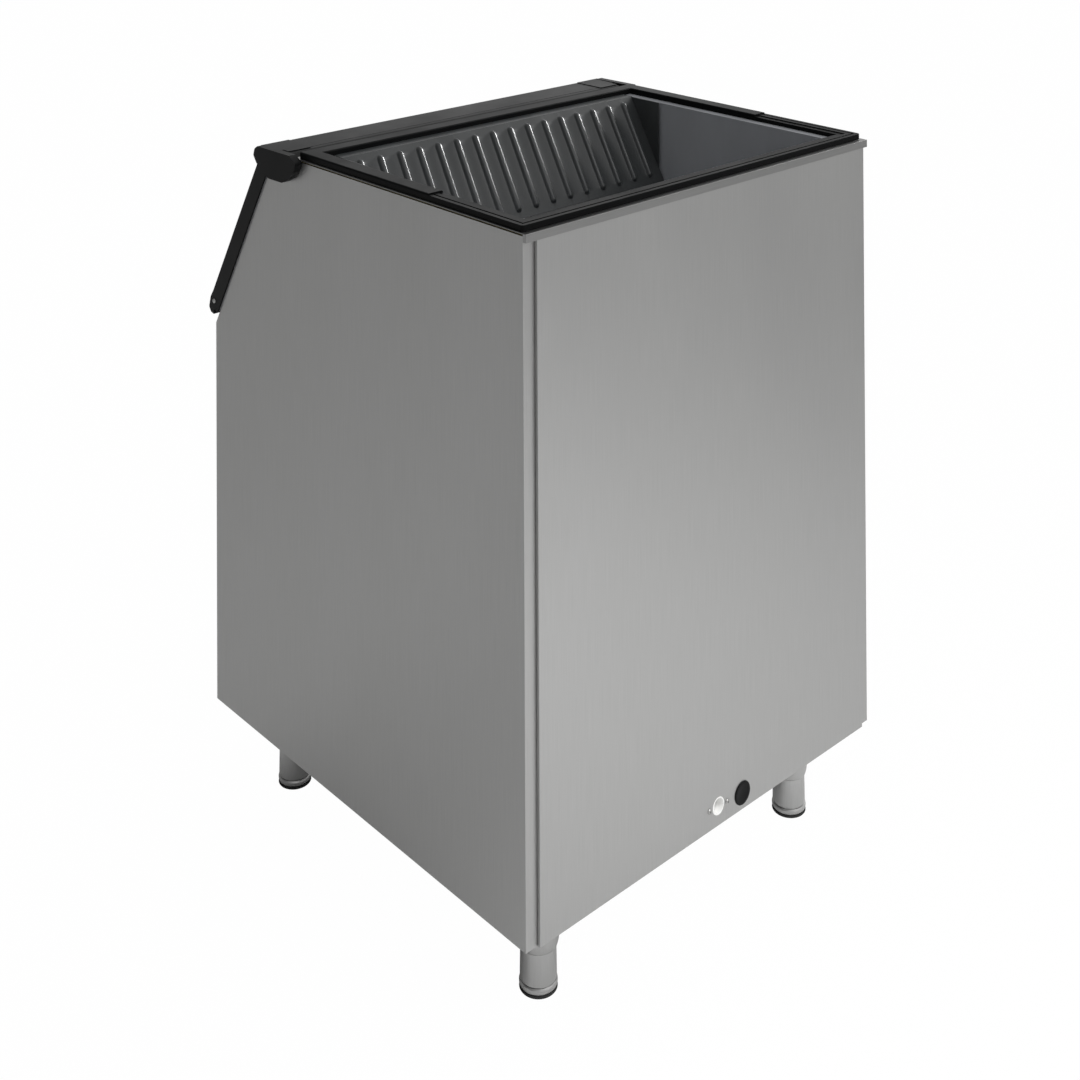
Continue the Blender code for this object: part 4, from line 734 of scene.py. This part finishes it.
class ICEBIN_OT_baffle(bpy.types.Operator):
    """Formed baffle: a sheet pressed into beads, hooked over the ledge, with two cheeks"""

    bl_idname = "icebin.baffle"
    bl_label = "Baffle"

    def execute(self, context):
        sizes = context.scene.bin_sizes
        low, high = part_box("baffle")
        sheet = sizes.baffle_sheet
        down = Vector((0.0, 0.5, -math.sqrt(0.75)))
        out = Vector((0.0, math.sqrt(0.75), 0.5))
        hook_high = high.z
        hook_front = low.y
        top_y = hook_front + BAFFLE_HOOK
        length = (high.z - low.z) / -down.z - BAFFLE_TRIM
        half = high.x
        across = [-half]
        for index in range(sizes.bead_count):
            x = (index - (sizes.bead_count - 1) / 2) * sizes.bead_pitch
            across.extend(x + part for part in baffle_lines(sizes, False))
            if index < sizes.bead_count - 1:
                across.append(x + sizes.bead_pitch / 2)
        across.append(half)
        first = sizes.bead_start + sizes.bead_radius
        last = sizes.bead_start + sizes.bead_length - sizes.bead_radius
        ends = baffle_lines(sizes, True)
        along = [0.0] + [first - part for part in reversed(ends)]
        along += [first + (last - first) * step / 5 for step in range(1, 5)]
        along += [last + part for part in ends] + [length]
        nothing()
        bpy.ops.mesh.primitive_grid_add(
            x_subdivisions=len(across) - 1, y_subdivisions=len(along) - 1, size=1.0,
        )
        item = bpy.context.object
        item.name = "ribbed_baffle"
        columns, rows = len(across), len(along)
        axis_x = [
            (index - (sizes.bead_count - 1) / 2) * sizes.bead_pitch
            for index in range(sizes.bead_count)
        ]
        top = Vector((0.0, top_y, hook_high))
        for corner in item.data.vertices:
            x = across[round((corner.co.x + 0.5) * (columns - 1))]
            s = along[rows - 1 - round((corner.co.y + 0.5) * (rows - 1))]
            nearest = min(axis_x, key=lambda place: abs(place - x))
            beyond = max(first - s, s - last, 0.0)
            away = math.hypot(x - nearest, beyond)
            height = bead_height(away, sizes.bead_radius, sizes.bead_foot)
            corner.co = top + down * s + out * height + Vector((x, 0.0, 0.0))
        bpy.ops.object.mode_set(mode="EDIT")
        bpy.ops.mesh.select_mode(type="EDGE")
        bpy.ops.mesh.select_all(action="DESELECT")
        bpy.ops.object.mode_set(mode="OBJECT")
        for edge in item.data.edges:
            ends_at = [item.data.vertices[index].co for index in edge.vertices]
            edge.select = all(abs(place.z - hook_high) < 0.00001 for place in ends_at)
        bpy.ops.object.mode_set(mode="EDIT")
        bpy.ops.mesh.extrude_edges_move(
            TRANSFORM_OT_translate={"value": (0.0, hook_front - top_y, 0.0)},
        )
        bpy.ops.mesh.select_all(action="SELECT")
        bpy.ops.mesh.normals_make_consistent(inside=False)
        bpy.ops.object.mode_set(mode="OBJECT")
        if item.data.polygons[len(item.data.polygons) // 3].normal.dot(out) < 0:
            bpy.ops.object.mode_set(mode="EDIT")
            bpy.ops.mesh.select_all(action="SELECT")
            bpy.ops.mesh.flip_normals()
            bpy.ops.object.mode_set(mode="OBJECT")
        wall = item.modifiers.new("Wall", "SOLIDIFY")
        wall.thickness = sheet
        wall.offset = -1.0
        wall.use_even_offset = True
        bpy.ops.object.modifier_apply(modifier=wall.name)
        smooth(item, 50.0)
        finish(item, "cabinet", "baffle_grey", ("baffle",))
        self.cheeks(top, down, out, low, half, sheet)
        return {"FINISHED"}

    def cheeks(self, top, down, out, low, half, sheet):
        """Three-cornered cheeks at both ends of the baffle."""
        x = sheet / 2 - half
        rear = low.y + BAFFLE_HOOK + CHEEK_DEPTH
        start = top - out * sheet / 2 + down * CHEEK_START
        foot = top - out * sheet / 2
        foot = foot + down * ((rear - foot.y) / down.y)
        places = [
            Vector((x, start.y, top.z - sheet / 2)), Vector((x, rear, top.z - sheet / 2)),
            Vector((x, rear, foot.z)),
        ]
        nothing()
        bpy.ops.mesh.primitive_plane_add(size=0.001, location=(x, 0.0, 0.0))
        cheek = bpy.context.object
        cheek.name = "baffle_cheek_left"
        bpy.ops.object.mode_set(mode="EDIT")
        bpy.ops.mesh.select_mode(type="VERT")
        bpy.ops.mesh.select_all(action="SELECT")
        bpy.ops.mesh.merge(type="CENTER")
        bpy.ops.transform.translate(value=tuple(places[0] - Vector((x, 0.0, 0.0))))
        for begin, end in zip(places, places[1:]):
            bpy.ops.mesh.extrude_vertices_move(TRANSFORM_OT_translate={"value": tuple(end - begin)})
        bpy.ops.mesh.select_all(action="SELECT")
        bpy.ops.mesh.edge_face_add()
        bpy.ops.object.mode_set(mode="OBJECT")
        wall = cheek.modifiers.new("Wall", "SOLIDIFY")
        wall.thickness = sheet * 0.9
        wall.offset = 0.0
        bpy.ops.object.modifier_apply(modifier=wall.name)
        bevel(cheek, 0.0004, 2)
        smooth(cheek)
        finish(cheek, "cabinet", "baffle_grey")
        cheek = placed_copy(cheek, "baffle_cheek_right", Vector((-2 * x, 0.0, 0.0)))
        finish(cheek, "cabinet", "baffle_grey")


class ICEBIN_OT_door(bpy.types.Operator):
    """Door shell with its hood and grip, inner panel, seal and the frame behind it"""

    bl_idname = "icebin.door"
    bl_label = "Door"

    def execute(self, context):
        edge = context.scene.bin_sizes.moulded_edge
        item = eased_copy("door_shell", "door_skin", edge, 2, 34.0)
        finish(item, "door", "door_black", ("door_shell",))
        item = eased_copy("door_inner_panel", "door_back", edge)
        finish(item, "door", "liner_grey", ("door_inner_panel",))
        item = eased_copy("door_frame", "opening_frame", 0.6 * edge)
        finish(item, "cabinet", "rim_black", ("door_frame",))
        item = eased_copy("door_seal", "opening_seal", edge, 3, 50.0)
        finish(item, "cabinet", "rubber", ("door_seal",))
        dress("door_insulation", "foam")
        return {"FINISHED"}


class ICEBIN_OT_end_caps(bpy.types.Operator):
    """End caps over the ends of the hood"""

    bl_idname = "icebin.end_caps"
    bl_label = "End Caps"

    def execute(self, context):
        for side in SIDES:
            node = "end_cap_" + side
            item = eased_copy(node, "ear_" + side, context.scene.bin_sizes.cap_edge, 3, 40.0, 52.0)
            finish(item, "door", "door_black", (node,))
            dress("door_screw_" + side, "plated")
        return {"FINISHED"}


class ICEBIN_OT_hinges(bpy.types.Operator):
    """Hinge plates, pins and bushes"""

    bl_idname = "icebin.hinges"
    bl_label = "Hinges"

    def execute(self, context):
        for side in SIDES:
            node = "hinge_plate_" + side
            item = eased_copy(node, "pivot_plate_" + side, 0.0004)
            finish(item, "cabinet", "plated", (node,))
            dress("hinge_pin_" + side, "plated")
            dress("hinge_bush_" + side, "white_pipe")
        return {"FINISHED"}


class ICEBIN_OT_legs(bpy.types.Operator):
    """Legs: collar, tube, levelling foot, pad and the plate in the floor"""

    bl_idname = "icebin.legs"
    bl_label = "Legs"

    def execute(self, context):
        first = LEGS[0]
        pieces = (
            ("leg_collar_turned_", "leg_collar_", "cabinet", "leg_steel", "door_plastic"),
            ("leg_tube_turned_", "leg_tube_", "cabinet", "leg_steel", "stainless_steel"),
            ("foot_turned_", "leveling_foot_", "foot_", "leg_steel", "plated_steel"),
            ("pad_turned_", "foot_pad_", "foot_", "rubber", "rubber"),
        )
        centre = middle_of("leg_collar_" + first)
        centre.z = 0.0
        models = (
            self.collar(first, centre), self.tube(first, centre),
            self.foot(first, centre), self.pad(first, centre),
        )
        for leg in LEGS:
            offset = middle_of("leg_collar_" + leg) - middle_of("leg_collar_" + first)
            for item, (stem, node, body, material, slot) in zip(models, pieces):
                if leg != first:
                    item = placed_copy(item, stem + leg, offset)
                if body == "foot_":
                    body += leg
                finish(item, body, material, (node + leg,))
            dress("leg_plate_" + leg, "plated")
        return {"FINISHED"}

    def collar(self, leg, centre):
        """Collar under the floor, with its stud above and its spigot in the tube."""
        low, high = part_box("leg_collar_" + leg)
        tube_low, tube_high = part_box("leg_tube_" + leg)
        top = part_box("base_panel")[0].z - LEG_GAP
        wide = (high.x - low.x) / 2
        seam = tube_high.z + LEG_GAP
        spigot = (tube_high.x - tube_low.x) / 2 - SPIGOT_INSET
        item = turned(
            "leg_collar_turned_" + leg,
            (
                (0.0, high.z), (COLLAR_STUD - 0.0008, high.z), (COLLAR_STUD, high.z - 0.0008),
                (COLLAR_STUD, top), (wide - 0.0007, top), (wide - 0.0001, top - 0.0006),
                (wide, top - 0.0024), *((wide - near, seam + up) for near, up in COLLAR_SHOULDER),
                (spigot, seam), (spigot, low.z + 0.0010), (spigot - 0.0006, low.z), (0.0, low.z),
            ),
            centre,
        )
        smooth(item, 30.0)
        return item

    def tube(self, leg, centre):
        """Steel tube with a floor that the foot's stud goes through."""
        low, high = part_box("leg_tube_" + leg)
        wide = (high.x - low.x) / 2
        inner = wide - TUBE_WALL
        item = turned(
            "leg_tube_turned_" + leg,
            (
                (inner, high.z), (wide - 0.0012, high.z), (wide - 0.0007, high.z - 0.0005),
                (wide - 0.0006, high.z - 0.0015), (wide, low.z + 0.0080), (wide, low.z + 0.0012),
                (wide - 0.0002, low.z + 0.0005), (wide - 0.0007, low.z), (FOOT_STUD_HOLE, low.z),
                (FOOT_STUD_HOLE, low.z + TUBE_LEDGE), (inner, low.z + TUBE_LEDGE),
            ),
            centre, closed=True,
        )
        smooth(item, 30.0)
        return item

    def foot(self, leg, centre):
        """Levelling foot with its threaded stud."""
        low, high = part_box("leveling_foot_" + leg)
        wide = (high.x - low.x) / 2
        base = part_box("leg_tube_" + leg)[0].z - LEG_GAP
        stud = [(0.0, high.z), (FOOT_STUD - 0.0010, high.z), (FOOT_STUD, high.z - 0.0010)]
        height = high.z - 0.0020
        while height > base + 0.0015:
            stud += [
                (FOOT_STUD, height), (THREAD_ROOT, height - 0.0006), (FOOT_STUD, height - 0.0012),
            ]
            height -= THREAD_PITCH
        item = turned(
            "foot_turned_" + leg,
            (
                *stud, (FOOT_STUD, base), *((wide - near, base - down) for near, down in FOOT_BELL),
                (wide - 0.0016, low.z + 0.0003), (wide - 0.0022, low.z), (0.0, low.z),
            ),
            centre,
        )
        smooth(item, 32.0)
        return item

    def pad(self, leg, centre):
        """Pad under the foot, hollow underneath."""
        low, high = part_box("foot_pad_" + leg)
        wide = (high.x - low.x) / 2
        item = turned(
            "pad_turned_" + leg,
            (
                (0.0, high.z), (wide - 0.0008, high.z), (wide - 0.0002, high.z - 0.0005),
                (wide, low.z + 0.0008), (wide - 0.0005, low.z), (wide - 0.0060, low.z),
                (wide - 0.0070, low.z + 0.0006), (0.0, low.z + 0.0006),
            ),
            centre,
        )
        smooth(item, 30.0)
        return item


class ICEBIN_OT_drain(bpy.types.Operator):
    """Drain outlet, fitting, strainer, screws and blanking plug"""

    bl_idname = "icebin.drain"
    bl_label = "Drain"

    def execute(self, context):
        self.pipe()
        self.fitting()
        item = eased_copy("drain_strainer", "sump_strainer", 0.0003)
        finish(item, "cabinet", "white_pipe", ("drain_strainer",))
        self.screws()
        self.plug()
        return {"FINISHED"}

    def pipe(self):
        """Outlet pipe, bent from the sump to the rear panel."""
        low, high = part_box("drain_outlet")
        x = (low.x + high.x) / 2
        y = low.y + PIPE_RADIUS
        z = low.z + PIPE_RADIUS
        nothing()
        bpy.ops.mesh.primitive_circle_add(vertices=48, radius=PIPE_RADIUS, location=(x, y, high.z))
        item = bpy.context.object
        item.name = "outlet_pipe"
        bpy.ops.object.mode_set(mode="EDIT")
        bpy.ops.mesh.select_all(action="SELECT")
        bpy.ops.mesh.extrude_edges_move(
            TRANSFORM_OT_translate={"value": (0.0, 0.0, z + PIPE_BEND - high.z)},
        )
        bpy.ops.mesh.spin(
            steps=12, angle=-math.pi / 2, center=(x, y + PIPE_BEND, z + PIPE_BEND),
            axis=(1.0, 0.0, 0.0),
        )
        bpy.ops.object.mode_set(mode="OBJECT")
        reach = max(corner.co.y + item.location.y for corner in item.data.vertices)
        bpy.ops.object.mode_set(mode="EDIT")
        bpy.ops.mesh.extrude_edges_move(
            TRANSFORM_OT_translate={"value": (0.0, high.y - reach, 0.0)},
        )
        bpy.ops.mesh.select_all(action="SELECT")
        bpy.ops.mesh.remove_doubles(threshold=MERGE_DISTANCE)
        bpy.ops.mesh.normals_make_consistent(inside=False)
        bpy.ops.object.mode_set(mode="OBJECT")
        wall = item.modifiers.new("Wall", "SOLIDIFY")
        wall.thickness = PIPE_WALL
        wall.offset = -1.0
        bpy.ops.object.modifier_apply(modifier=wall.name)
        bevel(item, 0.0004, 2, 50.0)
        smooth(item, 35.0)
        finish(item, "cabinet", "white_pipe", ("drain_outlet",))

    def fitting(self):
        """Flanged fitting in the floor of the liner."""
        low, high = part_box("drain_fitting")
        centre = Vector(((low.x + high.x) / 2, (low.y + high.y) / 2, 0.0))
        flange = high.z - FLANGE_THICKNESS
        item = turned(
            "sump_fitting",
            (
                (BORE_RADIUS, high.z), (FLANGE_RADIUS - 0.0010, high.z),
                (FLANGE_RADIUS - 0.0002, high.z - 0.0006), (FLANGE_RADIUS, flange + 0.0004),
                (FLANGE_RADIUS, flange), (NECK_RADIUS, flange), (NECK_RADIUS, low.z + 0.0006),
                (NECK_RADIUS - 0.0005, low.z), (BORE_RADIUS, low.z),
            ),
            centre, closed=True,
        )
        smooth(item, 35.0)
        finish(item, "cabinet", "white_pipe", ("drain_fitting",))

    def screws(self):
        """Two cross-headed screws beside the outlet."""
        low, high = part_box("outlet_screw_left")
        centre = Vector(((low.x + high.x) / 2, 0.0, (low.z + high.z) / 2))
        head = tuple((radius, high.y - depth) for radius, depth in SCREW_HEAD)
        item = turned(
            "pan_screw_left",
            (*head, (SCREW_SHANK, low.y + 0.0012), (CROSS_SHORT, low.y), (0.0, low.y)),
            centre, "Y",
        )
        for wide, tall in ((CROSS_LONG, CROSS_SHORT), (CROSS_SHORT, CROSS_LONG)):
            cross = block(
                "drive", (centre.x - wide, high.y - CROSS_DEPTH, centre.z - tall),
                (centre.x + wide, high.y + 0.001, centre.z + tall),
            )
            cut_away(item, cross)
        smooth(item, 30.0)
        finish(item, "cabinet", "plated", ("outlet_screw_left",))
        offset = middle_of("outlet_screw_right") - middle_of("outlet_screw_left")
        item = placed_copy(item, "pan_screw_right", offset)
        finish(item, "cabinet", "plated", ("outlet_screw_right",))

    def plug(self):
        """Blanking plug with a raised ring."""
        low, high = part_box("blanking_plug")
        centre = Vector(((low.x + high.x) / 2, 0.0, (low.z + high.z) / 2))
        face = tuple((radius, high.y - depth) for radius, depth in PLUG_FACE)
        item = turned("hole_plug", (*face, (PLUG_SHANK, low.y), (0.0, low.y)), centre, "Y")
        smooth(item, 40.0)
        finish(item, "cabinet", "plug_black", ("blanking_plug",))


class ICEBIN_OT_stage(bpy.types.Operator):
    """Pale floor, soft lamps and the level camera"""

    bl_idname = "icebin.stage"
    bl_label = "Stage"

    def execute(self, context):
        settings = context.scene.bin_stage
        nothing()
        bpy.ops.mesh.primitive_plane_add(size=60.0, location=(0.0, 0.0, 0.0))
        floor = bpy.context.object
        floor.name = "floor"
        material = bpy.data.materials.new("studio_floor")
        material.use_nodes = True
        tree = material.node_tree
        shader = tree.nodes["Principled BSDF"]
        shader.inputs["Roughness"].default_value = 0.9
        shader.inputs["Specular IOR Level"].default_value = 0.1
        grey = settings.floor_grey
        shader.inputs["Base Color"].default_value = (grey, grey, grey, 1.0)
        white = tree.nodes.new("ShaderNodeEmission")
        path = tree.nodes.new("ShaderNodeLightPath")
        share = tree.nodes.new("ShaderNodeMath")
        share.operation = "MULTIPLY"
        share.inputs[1].default_value = settings.floor_white
        tree.links.new(path.outputs["Is Camera Ray"], share.inputs[0])
        mix = tree.nodes.new("ShaderNodeMixShader")
        tree.links.new(share.outputs[0], mix.inputs["Fac"])
        tree.links.new(shader.outputs["BSDF"], mix.inputs[1])
        tree.links.new(white.outputs["Emission"], mix.inputs[2])
        tree.links.new(mix.outputs["Shader"], tree.nodes["Material Output"].inputs["Surface"])
        floor.data.materials.append(material)

        world = bpy.data.worlds.new("studio_surroundings")
        world.use_nodes = True
        context.scene.world = world
        tree = world.node_tree
        background = tree.nodes["Background"]
        background.inputs["Color"].default_value = (1.0, 1.0, 1.0, 1.0)
        path = tree.nodes.new("ShaderNodeLightPath")
        clear = tree.nodes.new("ShaderNodeMath")
        clear.operation = "MAXIMUM"
        tree.links.new(path.outputs["Is Camera Ray"], clear.inputs[0])
        tree.links.new(path.outputs["Is Transmission Ray"], clear.inputs[1])
        heading = tree.nodes.new("ShaderNodeTexCoord")
        toward = tree.nodes.new("ShaderNodeVectorMath")
        toward.operation = "DOT_PRODUCT"
        toward.inputs[1].default_value = Vector(settings.light_side).normalized()
        tree.links.new(heading.outputs["Generated"], toward.inputs[0])
        shade = tree.nodes.new("ShaderNodeMapRange")
        shade.interpolation_type = "SMOOTHSTEP"
        shade.inputs["From Min"].default_value = SHADE_FROM
        shade.inputs["From Max"].default_value = SHADE_TO
        shade.inputs["To Min"].default_value = settings.world_dark
        shade.inputs["To Max"].default_value = settings.world_light
        tree.links.new(toward.outputs["Value"], shade.inputs["Value"])
        spread = tree.nodes.new("ShaderNodeMix")
        spread.inputs["B"].default_value = 1.0
        tree.links.new(clear.outputs[0], spread.inputs["Factor"])
        tree.links.new(shade.outputs["Result"], spread.inputs["A"])
        tree.links.new(spread.outputs["Result"], background.inputs["Strength"])

        lamps = (
            ("floor_lamp", (-0.2, 2.5, 2.6), (-0.1, 1.5, 0.0), 1.3, 75.0),
            ("side_lamp", (-3.6, -0.3, 2.3), (0.0, -0.1, 1.35), 1.0, 36.0),
            ("back_lamp", (-2.6, -2.9, 2.3), (0.0, 0.0, 1.0), 2.2, 120.0),
        )
        powers = (settings.floor_lamp_power, settings.side_lamp_power, settings.back_lamp_power)
        for (name, place, aim, size, spread), power in zip(lamps, powers):
            nothing()
            bpy.ops.object.light_add(type="AREA", location=place)
            lamp = bpy.context.object
            lamp.name = name
            lamp.data.shape = "SQUARE"
            lamp.data.size = size
            lamp.data.energy = power
            lamp.data.spread = math.radians(spread)
            lamp.rotation_euler = (Vector(aim) - Vector(place)).to_track_quat("-Z", "Y").to_euler()

        nothing()
        turn = (
            Matrix.Rotation(settings.camera_heading, 4, "Z")
            @ Matrix.Rotation(settings.camera_tilt, 4, "X")
            @ Matrix.Rotation(settings.camera_roll, 4, "Z")
        )
        bpy.ops.object.camera_add(location=settings.camera_place, rotation=turn.to_euler())
        camera = bpy.context.object
        camera.name = "photo_camera"
        camera.data.sensor_width = 36.0
        camera.data.lens = settings.camera_lens
        camera.data.shift_y = settings.camera_shift
        camera.data.dof.use_dof = False
        context.scene.camera = camera
        context.scene.view_settings.view_transform = "Standard"
        return {"FINISHED"}


class ICEBIN_PT_panel(bpy.types.Panel):
    """Sidebar panel with the pieces of the bin"""

    bl_label = "Ice Bin"
    bl_idname = "ICEBIN_PT_panel"
    bl_space_type = "VIEW_3D"
    bl_region_type = "UI"
    bl_category = "Ice Bin"

    def draw(self, context):
        layout = self.layout
        for operator in OPERATORS:
            layout.operator(operator.bl_idname)
        for group in (context.scene.bin_sizes, context.scene.bin_colours, context.scene.bin_stage):
            box = layout.box()
            for name in group.bl_rna.properties.keys():
                if name not in {"rna_type", "name"}:
                    box.prop(group, name)


OPERATORS = (
    ICEBIN_OT_stage,
    ICEBIN_OT_panels,
    ICEBIN_OT_rim,
    ICEBIN_OT_liner,
    ICEBIN_OT_baffle,
    ICEBIN_OT_door,
    ICEBIN_OT_end_caps,
    ICEBIN_OT_hinges,
    ICEBIN_OT_legs,
    ICEBIN_OT_drain,
)
GROUPS = (("bin_sizes", BinSizes), ("bin_colours", BinColours), ("bin_stage", StageSettings))


def register():
    """Register the classes and hang the settings on the scene."""
    for name, group in GROUPS:
        bpy.utils.register_class(group)
        setattr(bpy.types.Scene, name, bpy.props.PointerProperty(type=group))
    for operator in OPERATORS:
        bpy.utils.register_class(operator)
    bpy.utils.register_class(ICEBIN_PT_panel)


def unregister():
    """Take the classes and the settings away again."""
    bpy.utils.unregister_class(ICEBIN_PT_panel)
    for operator in reversed(OPERATORS):
        bpy.utils.unregister_class(operator)
    for name, group in reversed(GROUPS):
        delattr(bpy.types.Scene, name)
        bpy.utils.unregister_class(group)


def main():
    """Build every piece and the stage."""
    register()
    bpy.ops.icebin.stage()
    bpy.ops.icebin.panels()
    bpy.ops.icebin.rim()
    bpy.ops.icebin.liner()
    bpy.ops.icebin.baffle()
    bpy.ops.icebin.door()
    bpy.ops.icebin.end_caps()
    bpy.ops.icebin.hinges()
    bpy.ops.icebin.legs()
    bpy.ops.icebin.drain()


if __name__ == "__main__":
    main()
